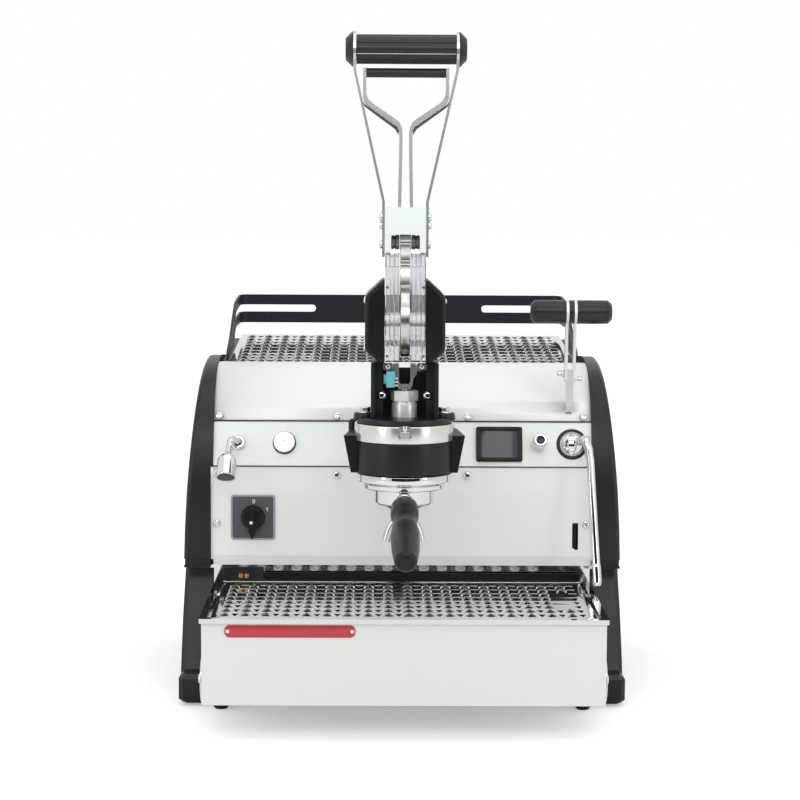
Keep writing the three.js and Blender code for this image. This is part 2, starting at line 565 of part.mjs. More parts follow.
function addBody() {
  const deckHalf = outer - deck.inset;
  const deckFront = rim.rear + deck.behindRim;
  add('deck_plate', block(-deckHalf, deckHalf, deckFront, frameRear, deckBottom, deckTop), 'brushed');

  const splashFront = rim.rear + slip;
  add('splash_wall', block(-machine.inner, machine.inner, splashFront, splashFront + pan.wall,
    base.bottom + pan.wallHeight + slip, deckBottom - slip), 'polished');

  const sillLine = [[sillToe, floor], [sillFace, floor + sill.bend], [sillFace, floor + sill.crease],
    [sillHead, sillTop]];
  const sillSheet = alongX(strip(sillLine, sheet), -machine.inner, machine.inner);
  const shaft = disc(knobPlate.bore, switchX, floor + knobPlate.rise, sillFace - over, sillToe + over);
  const drainX = machine.inner - drainSlot.inset;
  const window = block(drainX - drainSlot.half, drainX + drainSlot.half, sillFace - over,
    sillToe + over, floor + drainSlot.low, floor + drainSlot.low + drainSlot.height);
  add('lower_panel', cut(sillSheet, shaft, window), 'brushed');

  const inverse = consoleFrame.matrix.clone().invert();
  const neckLow = groupLip + neck.low;
  const neckHole = (grow) => block(-neck.half - grow, neck.half + grow, machine.groupY, neckEnd + over,
    neckLow - grow, neckLow + neck.height + grow);
  const face = alongY(roundRect(machine.inner, console_.height / 2, sheet, [0, console_.height / 2]), 0,
    console_.thick);
  const paneHalf = display.half - display.border;
  const openings = [
    disc(waterButton.radius + waterButton.play, waterButtonX, knobs.row, -over, over),
    disc(menuButton.radius + menuButton.play, menuButtonX, knobs.row, -over, over),
    disc(steamBall.radius + steamBall.play, steamBallX, steamBall.row, -over, over, wheelSteps),
    disc(waterFlange.stub + slip, waterFlangeX, knobs.row, -over, over),
    block(displayX - paneHalf, displayX + paneHalf, -over, over, display.low + display.border,
      display.low + display.height - display.border),
    closed(neckHole(neck.room).applyMatrix4(inverse)),
  ];
  add('control_panel', cut(face, ...openings), 'brushed', consoleFrame);

  // the hood starts just clear of the console's top edge
  const outerArc = hoodArc(0).map(([y, z], i) => (i ? [y, z] : [y, Math.max(z, consoleTop + 2 * slip)]));
  const hoodSheet = alongX(outline([...outerArc, ...hoodArc(sheet).reverse()]), -machine.inner, machine.inner);
  const slot = block(steamSlotX - steamSlot.half, steamSlotX + steamSlot.half, hoodStart - over,
    hoodEnd, steamPivot.z - steamSlot.below, steamPivot.z + steamSlot.above);
  add('upper_panel', cut(hoodSheet.translate(0, 0, hood.lift), slot, neckHole(neck.room)), 'polished');

  const wellFront = hoodEnd + slip;
  const wellShape = outline([
    [wellFront, wellHeight(wellFront) - well.thick], [frameRear, wellHeight(frameRear) - well.thick],
    [frameRear, wellHeight(frameRear)], [wellFront + sheet, wellHeight(wellFront + sheet)],
    [wellFront + sheet, crown], [wellFront, crown],
  ]);
  const lapZ = floor + bodySide.shoulderHeight - bodySide.rearDrop - well.lap;
  const middleOf = (y) => wellHeight(y) - well.thick / 2;
  const flange = alongX(outline([
    [wellFront, lapZ], [frameRear, lapZ], [frameRear, middleOf(frameRear)], [wellFront, middleOf(wellFront)],
  ]), machine.inner - sheet, machine.inner);
  add('cup_well', join(alongX(wellShape, -machine.inner, machine.inner), flange, mirrored(flange)), 'black');

  const back = frameRear + slip;
  const plate = block(-inner, inner, back, back + sheet, base.bottom, wellHeight(frameRear));
  add('rear_panel', cut(plate, ...ventSlots(back)), 'brushed');
}

// Two columns of cooling slots in the rear panel
function ventSlots(back) {
  const slots = [];
  for (let i = 0; i < vents.count; i += 1) {
    for (const way of [-1, 1]) {
      const ends = [way * vents.reach, way * (vents.reach - vents.width)];
      const low = deckBottom + vents.low + i * vents.pitch;
      slots.push(block(Math.min(...ends), Math.max(...ends), back - over, back + sheet + over, low,
        low + vents.height));
    }
  }
  return slots;
}

// Cups: lift-out tray in the well and the black rail round it
function addCupDeck() {
  const half = machine.inner - cupTray.inset;
  const front = hoodEnd + cupTray.behindHood;
  const halfLength = (frameRear - cupTray.fromRear - front) / Math.cos(well.rise) / 2;
  const plate = alongZ(roundRect(half, halfLength, cupTray.thick, [0, halfLength]),
    cupTray.skirt - cupTray.thick, cupTray.skirt);
  const holes = triangles(cupTray, half - cupTray.side, cupTray.ends, 2 * halfLength - cupTray.ends,
    cupTray.skirt);
  const skirt = foldedEdge(half, halfLength, halfLength, cupTray.thick, cupTray.thick, 0,
    cupTray.skirt - cupTray.thick / 2);
  const tray = add('cup_tray', join(cut(plate, holes), skirt), 'polished');
  tray.rotation.x = well.rise;
  tray.position.set(0, front, wellHeight(front) + slip);

  const railHalf = machine.inner - rail.inset;
  const railTop = crown + rail.above;
  const footFront = hoodEnd + rail.footBehind;
  const footRear = footFront + rail.footLength;
  const wall = (inset) => {
    const x = railHalf - inset;
    const y = machine.rear - inset;
    const r = rail.corner - inset;
    const turn = (cx, from) => Array.from({ length: rail.cornerSteps + 1 }, (_, i) => {
      const a = from - (i * Math.PI) / 2 / rail.cornerSteps;
      return [cx + r * Math.cos(a), y - r + r * Math.sin(a)];
    });
    return [[-x, footFront], ...turn(-x + r, Math.PI), ...turn(x - r, Math.PI / 2), [x, footFront]];
  };
  const sheetBand = alongZ(outline([...wall(0), ...wall(rail.thick).reverse()]), wellHeight(footFront) - over,
    railTop + over);
  const low = railTop - rail.height;
  const side = alongX(outline([
    [footFront - over, wellHeight(footFront - over) + slip], [footRear, wellHeight(footRear) + slip],
    [footRear + rail.chinBack, low - rail.chinDrop], [footRear + rail.throatBack, low],
    [machine.rear + over, low], [machine.rear + over, railTop],
    [machine.rear - rail.browBack, railTop - rail.browDrop],
    [machine.rear - rail.shoulderBack, railTop - rail.shoulderDrop],
    [machine.rear - rail.kneeBack, railTop - rail.kneeDrop],
    [footFront + rail.lipBack, railTop - rail.lipDrop],
    [footFront, wellHeight(footFront) + rail.toe], [footFront - over, wellHeight(footFront) + rail.toe],
  ]), -railHalf - over, railHalf + over);
  const barTop = railTop - rail.slotDrop;
  const slot = (x0, x1) => block(x0, x1, hoodEnd + rail.slotBehind, machine.rear + over,
    barTop - rail.slotHeight, barTop);
  add('cup_rail', cut(common(sheetBand, side), slot(-railHalf - over, rail.leftEnd),
    slot(rail.rightEnd, railHalf + over)), 'black');
}

// Group: head on its neck, black band with ears, chrome bell, shower screen

function addGroup() {
  const group = new THREE.Group();
  group.position.set(0, machine.groupY, groupLip);
  assembly.add(group);

  const turned = turnedZ(ringed([
    [head.bore, head.bottom], [head.sleeve, head.bottom], [head.sleeve, head.low], [head.radius, head.low],
    [head.radius, headTop - head.round], [head.radius - head.round, headTop], [head.rodBore, headTop],
    [head.rodBore, head.low], [head.bore, head.low],
  ]), ringSteps);
  const armStart = band.radius + neck.gap;
  const neckTop = neck.low + neck.height;
  const arm = block(-neck.half, neck.half, armStart, neckEnd - machine.groupY, neck.low, neckTop);
  const armRoot = block(-neck.half, neck.half, head.sleeve - edge, armStart + edge, head.low, neckTop);
  const notch = block(-head.notch, head.notch, -head.radius - over, -head.radius + head.notchDeep,
    head.low - over, headTop + over);
  add('group_head', cut(join(turned, arm, armRoot), notch), 'polished', group);

  const ring = turnedZ(ringed([
    [head.sleeve + slip, band.low], [band.radius - edge, band.low], [band.radius, band.low + edge],
    [band.radius, head.low - slip], [head.sleeve + slip, head.low - slip],
  ]), ringSteps);
  const ear = (side) => alongY(outline([
    [side * (band.radius - edge), band.low + edge / 2],
    [side * (band.radius + band.earTip), band.low + edge / 2],
    [side * (band.radius + band.ear), head.low - edge],
    [side * (band.radius - edge), head.low - edge],
  ]), -band.earHalf, band.earHalf);
  add('group_band', join(ring, ear(-1), ear(1)), 'black', group);

  const skirt = turnedZ(ringed([
    [bell.throat, 0], [bell.lipRadius - edge / 2, 0], [bell.lipRadius, edge / 2],
    [bell.lipRadius, bell.low - edge / 2], [bell.flare - edge, bell.low], [bell.flare, bell.low + edge],
    [bell.flare, band.low - slip], [head.sleeve + slip, band.low - slip], [head.sleeve + slip, bell.grooveHigh],
    [bell.groove, bell.grooveHigh], [bell.groove, bell.grooveLow], [bell.throat, bell.grooveLow],
  ]), ringSteps);
  const gate = (turn) => {
    const cutter = block(0, bell.groove, -bell.gate / 2 - slip, bell.gate / 2 + slip, -over,
      bell.grooveHigh - slip);
    return closed(cutter.rotateZ(turn));
  };
  add('group_bell', cut(skirt, gate(-portafilter.unlock), gate(Math.PI - portafilter.unlock)), 'chrome', group);

  const dish = turnedZ([
    [0, screen.low], [screen.radius, screen.low], [screen.radius, screen.low + screen.height],
    [screen.radius - screen.thick, screen.low + screen.height],
    [screen.radius - screen.thick, screen.low + screen.thick], [0, screen.low + screen.thick],
  ], plainSteps);
  add('shower_screen', dish, 'polished', group);

  const top = headTop + cylinder.height;
  const nutLow = top - cylinder.nutHeight;
  const barrel = round(cylinder.radius, headTop + slip, nutLow + edge, rodSteps);
  const nut = closed(round(cylinder.nut, nutLow, top, hexagonSteps).rotateZ(Math.PI / hexagonSteps));
  const passage = round(cylinder.bore, headTop - over, top + over, plainSteps);
  add('spring_cylinder', cut(join(barrel, nut), passage), 'polished', group);
  return group;
}

// Lever: fork and cam wheel on the pivot, yoke block, two arms, grip and trigger

function addLever(group) {
  const turner = new THREE.Group();
  turner.position.z = pivotZ;
  group.add(turner);

  const ease = pivot.wheelEase;
  const wheel = turnedX([[0, -pivot.wheelHalf], [pivot.wheel - ease, -pivot.wheelHalf],
    [pivot.wheel, -pivot.wheelHalf + ease], [pivot.wheel, pivot.wheelHalf - ease],
    [pivot.wheel - ease, pivot.wheelHalf], [0, pivot.wheelHalf]], wheelSteps);
  const rollerZ = yoke.low + camArm.rollerRise;
  const waistTop = camArm.waistLow + camArm.waistHeight;
  const shank = alongX(outline([
    [-camArm.root, 0], [camArm.root, 0], [camArm.root, camArm.waistLow], [camArm.waist, camArm.waistLow],
    [camArm.waist, waistTop], [camArm.tip, waistTop], [camArm.tip, rollerZ],
    [-camArm.tip, rollerZ], [-camArm.tip, waistTop], [-camArm.waist, waistTop],
    [-camArm.waist, camArm.waistLow], [-camArm.root, camArm.waistLow],
  ]), -pivot.wheelHalf, pivot.wheelHalf);
  const reach = yoke.notch - slip;
  const easing = yoke.corner;
  const rollers = turnedX([[0, -reach], [camArm.roller - easing, -reach], [camArm.roller, -reach + easing],
    [camArm.roller, reach - easing], [camArm.roller - easing, reach], [0, reach]], shortSteps)
    .translate(0, 0, rollerZ);
  const shaftHole = turnedX([[0, -over - pivot.wheelHalf], [pivot.shaft + slip, -over - pivot.wheelHalf],
    [pivot.shaft + slip, over + pivot.wheelHalf], [0, over + pivot.wheelHalf]], plainSteps);
  add('cam_wheel', cut(join(wheel, shank, closed(rollers)), shaftHole), 'polished', turner);

  const bodyShape = new THREE.Shape();
  const r = yoke.corner;
  const roof = yoke.low + yoke.notchHeight;
  const yokeTop = yoke.low + yoke.height;
  bodyShape.moveTo(-yoke.half, yoke.low);
  bodyShape.lineTo(-yoke.notch, yoke.low);
  bodyShape.lineTo(-yoke.notch, roof - r);
  bodyShape.absarc(-yoke.notch + r, roof - r, r, Math.PI, Math.PI / 2, true);
  bodyShape.absarc(yoke.notch - r, roof - r, r, Math.PI / 2, 0, true);
  bodyShape.lineTo(yoke.notch, yoke.low);
  bodyShape.lineTo(yoke.half, yoke.low);
  bodyShape.lineTo(yoke.half, yokeTop);
  bodyShape.lineTo(-yoke.half, yokeTop);
  const blockBody = alongY(bodyShape, -yoke.halfDepth, yoke.halfDepth);
  const stemLow = yoke.low + trigger.insideYoke;
  const socket = block(-yoke.slotHalf, yoke.slotHalf, -yoke.slotDepth, yoke.slotDepth, stemLow - slip,
    yokeTop + over);
  add('yoke_block', cut(blockBody, socket), 'aluminium', turner);

  const root = yoke.half + slip;
  const t = arms.thick;
  const armLow = yoke.low - arms.below;
  const bend = yokeTop + arms.above;
  const armTop = grip.z - arms.eyeDrop;
  const stripShape = outline([
    [root, armLow], [root + t, armLow], [root + t, bend], [arms.spread + t, armTop], [arms.spread + t, grip.z],
    [arms.spread, grip.z], [arms.spread, armTop], [root, bend],
  ]);
  const stripArm = alongY(stripShape, -arms.halfDepth, arms.halfDepth);
  const eye = turnedX([[0, arms.spread], [arms.eye, arms.spread], [arms.eye, arms.spread + t],
    [0, arms.spread + t]], largeSteps).translate(0, 0, grip.z);
  const pinHole = turnedX([[0, arms.spread - over], [grip.pin + slip, arms.spread - over],
    [grip.pin + slip, arms.spread + t + over], [0, arms.spread + t + over]], shortSteps).translate(0, 0, grip.z);
  const rightArm = cut(join(stripArm, closed(eye)), closed(pinHole));
  add('right_lever_arm', rightArm, 'polished', turner);
  add('left_lever_arm', mirrored(rightArm), 'polished', turner);

  const end = arms.spread + t + slip;
  const tube = arms.spread - slip;
  const gripProfile = [
    [0, -end - grip.capLength], [grip.capTip, -end - grip.capLength], [grip.cap, -end - edge], [grip.cap, -end],
    [grip.pin, -end], [grip.pin, -tube], [grip.radius, -tube], [grip.radius, tube], [grip.pin, tube],
    [grip.pin, end], [grip.cap, end], [grip.cap, end + edge], [grip.capTip, end + grip.capLength],
    [0, end + grip.capLength],
  ];
  add('lever_grip', turnedX(gripProfile, largeSteps), 'grip', turner).position.z = grip.z;

  const barZ = grip.z - trigger.drop;
  const elbow = barZ - trigger.elbowDrop;
  const merge = elbow - trigger.slant;
  const w = trigger.thick;
  const barEnd = trigger.half + w / 2;
  const barTop = barZ + trigger.radius;
  const bar = turnedX([[0, -barEnd], [trigger.radius, -barEnd], [trigger.radius, barEnd], [0, barEnd]],
    shortSteps).translate(0, 0, barZ);
  const side = (way) => alongY(outline([
    [way * trigger.stem, stemLow], [way * (trigger.stem + w), stemLow],
    [way * (trigger.stem + w), merge - w], [way * (trigger.half + w), elbow - w],
    [way * (trigger.half + w), barTop], [way * trigger.half, barTop],
    [way * trigger.half, elbow], [way * trigger.stem, merge],
  ]), -trigger.halfDepth, trigger.halfDepth);
  const bridge = block(-trigger.stem - w / 2, trigger.stem + w / 2, -trigger.halfDepth, trigger.halfDepth,
    stemLow, stemLow + trigger.bridge);
  add('lever_trigger', join(closed(bar), side(-1), side(1), bridge), 'grip', turner);

  addPivotParts(group);
}

function addPivotParts(group) {
  // clear covers: hollow halves, open towards the wheel and at the bottom
  const dome = (grow) => {
    const shape = new THREE.Shape();
    const radius = covers.reach - grow;
    const side = covers.side - grow;
    const angle = Math.acos(side / radius);
    shape.moveTo(-side, -covers.below - (grow ? over : 0));
    shape.lineTo(side, -covers.below - (grow ? over : 0));
    shape.absarc(0, 0, radius, angle, Math.PI - angle);
    return shape;
  };
  const shell = alongX(dome(0), covers.gap, covers.half, covers.steps);
  const hollow = alongX(dome(covers.wall), covers.gap - over, covers.half - covers.wall, covers.steps);
  const bore = turnedX([[0, covers.gap], [pivot.shaft + slip, covers.gap], [pivot.shaft + slip,
    covers.half + over], [0, covers.half + over]], plainSteps);
  const right = cut(shell, hollow, bore);
  add('right_clear_cover', right, 'clear', group).position.z = pivotZ;
  add('left_clear_cover', mirrored(right), 'clear', group).position.z = pivotZ;

  const c = cheeks;
  const low = pivotZ - c.below;
  const high = pivotZ + c.above;
  const octagon = outline([
    [c.inner, low], [c.outer - c.lowX, low], [c.outer, low + c.lowZ], [c.outer, high - c.topZ],
    [c.outer - c.topX, high - edge], [c.inner, high],
  ]);
  const cheekBody = alongY(octagon, -cheeks.halfDepth, cheeks.halfDepth);
  const cheekBore = turnedX([[0, c.inner - over], [pivot.shaft + slip, c.inner - over], [pivot.shaft + slip,
    pivot.shaftHalf], [0, pivot.shaftHalf]], plainSteps).translate(0, 0, pivotZ);
  const cheek = cut(cheekBody, closed(cheekBore));
  add('right_side_cover', cheek, 'black', group);
  add('left_side_cover', mirrored(cheek), 'black', group);

  const shaftEnd = pivot.shaftHalf - slip;
  const shaft = turnedX([[0, -shaftEnd], [pivot.shaft, -shaftEnd], [pivot.shaft, shaftEnd], [0, shaftEnd]],
    plainSteps);
  add('pivot_shaft', shaft, 'polished', group).position.z = pivotZ;

  // channel bracket on a round foot, which carries the side covers on the group head
  const bottom = headTop + slip;
  const top = low - slip;
  const footDisc = round(bracket.foot, bottom, bottom + bracket.plate, ringSteps);
  const upright = (way) => block(Math.min(way * bracket.inner, way * bracket.outer),
    Math.max(way * bracket.inner, way * bracket.outer), -bracket.halfDepth, bracket.halfDepth,
    bottom + bracket.plate / 2, top);
  const web = block(-bracket.inner - edge, bracket.inner + edge, bracket.halfDepth - bracket.web,
    bracket.halfDepth, bottom, top - bracket.web);
  const passage = turnedZ([[0, bottom - over], [cylinder.radius + slip, bottom - over],
    [cylinder.radius + slip, bottom + bracket.plate + over], [0, bottom + bracket.plate + over]], rodSteps);
  add('lever_bracket', cut(join(footDisc, upright(-1), upright(1), web), passage), 'black', group);

  const seat = bracket.inner - slip;
  const sensorLow = headTop + sensor.rise;
  const sensorTop = sensorLow + sensor.height;
  const sensorBody = join(
    block(sensor.x - sensor.halfWidth, sensor.x + sensor.halfWidth, -sensor.halfDepth, sensor.halfDepth,
      sensorLow, sensorTop),
    block(-seat, sensor.x, -sensor.halfDepth / 2, sensor.halfDepth / 2, sensorLow + edge, sensorTop - edge),
  );
  add('pressure_sensor', sensorBody.translate(0, -bracket.halfDepth / 2, 0), 'teal', group);

  // piston rod with its fork, pins and piston
  const p = piston;
  const f = fork;
  const pistonLow = band.low + p.rise;
  const forkLow = headTop + cylinder.height + f.gap;
  const forkTop = forkLow + f.height;
  const cheekIn = pivot.wheelHalf + slip * 2;
  const rodBody = turnedZ([
    [0, pistonLow], [p.radius - edge, pistonLow], [p.radius, pistonLow + edge], [p.radius, pistonLow + p.thick],
    [p.rod, pistonLow + p.thick], [p.rod, forkLow + edge], [0, forkLow + edge],
  ], plainSteps);
  const forkBody = alongY(outline([
    [-f.half + edge, forkLow], [f.half - edge, forkLow], [f.half, forkLow + edge], [f.half, forkTop],
    [cheekIn, forkTop], [cheekIn, forkLow + f.floor], [-cheekIn, forkLow + f.floor], [-cheekIn, forkTop],
    [-f.half, forkTop], [-f.half, forkLow + edge],
  ]), -f.halfDepth, f.halfDepth);
  const pins = [-1, 1].map((way) => closed(turnedX([[0, cheekIn * way], [f.pin, cheekIn * way],
    [f.pin, f.pinHalf * way], [0, f.pinHalf * way]], pinSteps).translate(0, 0, forkTop - f.pinDrop)));
  add('piston_rod', join(rodBody, forkBody, ...pins), 'polished', group);
}

// Portafilter: body with lugs and twin spout, basket, neck and handle
function addPortafilter(group) {
  const p = portafilter;
  const pocket = p.radius - p.wall;
  const top = -p.gap;
  const low = top - p.height;
  const hubLow = low - p.hubHeight;
  const pocketLow = hubLow + p.pocketFloor;
  const lugHigh = p.lugRise + p.lugThick;
  const shell = turnedZ([
    [0, hubLow], [p.hub, hubLow], [p.radius - edge, low], [p.radius, low + edge], [p.radius, top],
    [p.collar, top + 2 * slip], [p.collar, lugHigh], [pocket, lugHigh], [pocket, pocketLow + edge],
    [pocket - edge, pocketLow], [0, pocketLow],
  ], wheelSteps);
  const lugBar = block(-p.lug, p.lug, -p.lugHalf, p.lugHalf, p.lugRise, lugHigh);
  const lug = common(lugBar, round(p.lug, p.lugRise, lugHigh, ringSteps));
  const inside = round(p.collar - edge, p.lugRise - over, lugHigh + over, wheelSteps);
  const spoutLow = hubLow - p.spoutHeight;
  const spoutPath = (way) => rod([
    new THREE.Vector3(0, 0, hubLow + edge), new THREE.Vector3(0, 0, hubLow - p.spout),
    new THREE.Vector3((way * p.spoutReach) / 2, 0, hubLow - 2 * p.spout - edge),
    new THREE.Vector3(way * p.spoutReach, 0, spoutLow + p.spout * 2),
    new THREE.Vector3(way * p.spoutReach, 0, spoutLow),
  ], p.spout, pinSteps, 5);
  const outlet = round(over, hubLow - over, pocketLow + over, pinSteps);
  const turnDown = Math.PI / 2 + handle.slope;
  const start = p.radius + p.boss * Math.sin(handle.slope);
  const bossZ = top - handle.drop;
  const boss = closed(turnedZ([[0, -p.wall], [p.boss, -p.wall], [p.boss, p.bossLength], [0, p.bossLength]],
    plainSteps).rotateX(turnDown).translate(0, -start, bossZ));
  const body = join(cut(join(shell, cut(lug, inside)), outlet), boss, spoutPath(-1), spoutPath(1));
  add('portafilter_body', body, 'chrome', group);

  const b = basket;
  const basketRadius = pocket - slip;
  const rimLow = lugHigh + slip;
  const rimHigh = rimLow + b.rim;
  const bottom = rimHigh - b.depth;
  add('portafilter_basket', turnedZ([
    [0, bottom], [basketRadius - b.inset, bottom], [basketRadius, bottom + b.inset], [basketRadius, rimLow],
    [p.collar - edge, rimLow], [p.collar - edge, rimHigh], [basketRadius - b.wall, rimHigh],
    [basketRadius - b.wall, bottom + b.inset], [basketRadius - b.inset, bottom + b.wall], [0, bottom + b.wall],
  ], largeSteps), 'polished', group);

  const h = handle;
  const root = p.bossLength + slip;
  const tailTip = h.tail - 2 * edge;
  const reach = machine.groupY + machine.reach - start - tailTip * Math.sin(h.slope);
  const length = reach / Math.cos(h.slope) - root;
  const profile = [
    [0, 0], [h.neck, 0], [h.neck, h.neckEnd], [h.ferrule, h.neckEnd], [h.ferrule, h.neckEnd + edge],
    [h.bulb, h.bulbAt], [h.bulb, h.bulbAt + 2 * edge], [h.waist, h.waistAt],
    [h.belly - edge / 2, (h.waistAt + h.bellyAt) / 2], [h.belly, h.bellyAt],
    [h.tail + edge / 2, h.tailAt - edge],
    [h.tail, h.tailAt], [h.tail - edge / 2, length - edge], [tailTip, length], [0, length],
  ];
  const mesh = add('portafilter_handle', turnedZ(profile, plainSteps), 'grip', group);
  mesh.position.set(0, -start - root * Math.cos(h.slope), bossZ - root * Math.sin(h.slope));
  mesh.rotation.x = turnDown;
}

// Console pieces: display, buttons, steam ball in its socket, water flange
function addConsoleParts() {
  const d = display;
  const high = d.low + d.height;
  const bezel = alongY(roundRect(d.half, d.height / 2, d.radius, [displayX, (d.low + high) / 2]),
    -d.proud - slip, -slip);
  const paneHalf = d.half - d.border;
  const bodyBox = block(displayX - paneHalf + slip, displayX + paneHalf - slip, -slip * 2, d.deep,
    d.low + d.border + slip, high - d.border - slip);
  const pane = block(displayX - paneHalf, displayX + paneHalf, -d.proud - slip - over,
    -d.proud - slip + d.recess, d.low + d.border, high - d.border);
  add('display', cut(join(bezel, bodyBox), pane), 'grip', consoleFrame);

  const w = waterButton;
  const waterProfile = [[0, -w.back], [w.radius - edge, -w.back], [w.radius, -w.back + edge],
    [w.radius, w.length - edge], [w.radius - edge / 2, w.length], [0, w.length]];
  add('hot_water_button', turnedOut(waterProfile, largeSteps), 'brushed', consoleFrame)
    .position.set(waterButtonX, 0, knobs.row);

  const m = menuButton;
  const [shoulder, crest] = m.domeShares;
  const menuProfile = [[0, -m.back], [m.radius, -m.back], [m.radius, m.length * m.shankShare],
    [m.nose, m.length - edge], [m.nose - edge / 2, m.length], [m.dome, m.length],
    [m.dome * shoulder, m.length + edge * m.domeRiseShare], [m.dome * crest, m.length + edge],
    [0, m.length + edge]];
  add('menu_button', turnedOut(menuProfile, plainSteps), 'chrome', consoleFrame)
    .position.set(menuButtonX, 0, knobs.row);

  const s = steamBall;
  const cupInner = s.radius + slip;
  const cupOuter = cupInner + s.cupWall;
  const cupBack = s.sunk + cupInner;
  const cup = turnedOut([
    [0, -cupBack - s.cupFloor], [cupOuter, -cupBack - s.cupFloor], [cupOuter, -console_.thick - slip],
    [cupInner, -console_.thick - slip], [cupInner, -cupBack], [0, -cupBack],
  ], largeSteps);
  add('steam_socket', cup, 'brass', consoleFrame).position.set(steamBallX, 0, s.row);
  const sphere = closed(new THREE.SphereGeometry(s.radius, plainSteps, smallSteps));
  add('steam_ball', sphere, 'chrome', consoleFrame).position.set(steamBallX, s.sunk, s.row);

  const f = waterFlange;
  add('water_flange', turnedOut(ringed([
    [f.bore, slip], [f.radius, slip], [f.radius, f.proud - edge / 2], [f.radius - edge / 2, f.proud],
    [f.bore, f.proud],
  ]), plainSteps), 'chrome', consoleFrame).position.set(waterFlangeX, 0, knobs.row);
}

// A piece turned about Z, laid along a direction from a place
function laidAlong(geometry, place, direction) {
  const turn = new THREE.Quaternion().setFromUnitVectors(new THREE.Vector3(0, 0, 1), direction);
  return closed(geometry.applyMatrix4(new THREE.Matrix4().compose(place, turn, new THREE.Vector3(1, 1, 1))));
}

function shifted(place, x, y, z) {
  return place.clone().add(new THREE.Vector3(x, y, z));
}

function addWand() {
  const w = wand;
  const ball = fromConsole(steamBallX, -steamBall.sunk, steamBall.row);
  const elbow = shifted(ball, w.sideways, -w.forward, w.rise);
  const bend = shifted(elbow, w.bendSideways, -w.bendForward, -w.bendDrop);
  const shoulder = shifted(bend, w.shoulderSideways, -w.shoulderForward, -w.shoulderDrop);
  const tip = shifted(shoulder, w.spread, -w.lean, -w.drop);
  const out = elbow.clone().sub(ball).normalize();
  const start = ball.clone().addScaledVector(out, steamBall.radius + slip);
  const along = tip.clone().sub(shoulder).normalize();
  const sleeve = tip.clone().addScaledVector(along, -w.tipLength);
  const tube = rod([start, start.clone().addScaledVector(out, w.radius * 2), elbow, bend, shoulder,
    sleeve.clone().addScaledVector(along, edge)], w.radius, pinSteps, stubSteps);
  const nozzle = turnedZ([[0, 0], [w.tip, 0], [w.tip, w.tipLength - edge], [w.tip - w.tipRound, w.tipLength],
    [0, w.tipLength]], shortSteps);
  add('steam_wand', join(tube, laidAlong(nozzle, sleeve, along)), 'polished');
}

function addSpout() {
  const f = waterFlange;
  const t = spout;
  const root = fromConsole(waterFlangeX, f.proud + slip, knobs.row);
  const inside = fromConsole(waterFlangeX, slip * 2, knobs.row);
  const out = fromConsole(waterFlangeX, f.proud + t.collar, knobs.row + edge / 2);
  const collar = rod([inside, root, out], f.bore - t.collarPlay, pinSteps, 3);
  const top = shifted(root, -t.sideways, -t.forward, t.rise);
  const drop = shifted(top, -t.dropSideways, -t.dropForward, -t.drop);
  const along = new THREE.Vector3(-t.spread, -t.lean, -t.fall).normalize();
  const tube = rod([root, out, top, drop, drop.clone().addScaledVector(along, edge)], t.radius, pinSteps, 8);
  const taper = t.nozzleTaper;
  const nozzle = turnedZ([[0, 0], [t.nozzle - taper, 0], [t.nozzle, taper],
    [t.nozzle, t.nozzleLength - edge / 2], [t.nozzle - edge / 2, t.nozzleLength],
    [0, t.nozzleLength]], plainSteps);
  add('hot_water_spout', join(collar, tube, laidAlong(nozzle, drop, along)), 'polished');
}

// Power switch on the lower panel: a round knob with one raised pointer
function addSwitch() {
  const k = knobPlate;
  const z = floor + k.rise;
  const front = sillFace - slip;
  const plate = alongY(roundRect(k.half, k.halfHeight, k.radius, [switchX, z]), front - k.thick, front);
  add('switch_plate', cut(plate, disc(k.bore, switchX, z, front - k.thick - over, front + over)), 'grey');

  const p = powerKnob;
  const top = p.length - p.ridgeProud;
  const knob = turnedOut([
    [0, -p.skirt], [p.shaft, -p.skirt], [p.shaft, slip], [p.radius, slip], [p.radius - edge / 4, p.skirt],
    [p.radius - edge, top], [0, top],
  ], largeSteps);
  const ridge = alongY(roundRect(p.ridge / 2, (p.pointer + p.tail) / 2, p.ridge / 2 - edge / 4,
    [0, (p.tail - p.pointer) / 2]), -p.length, -edge);
  add('power_knob', join(knob, ridge), 'grip').position.set(switchX, front - k.thick, z);
}

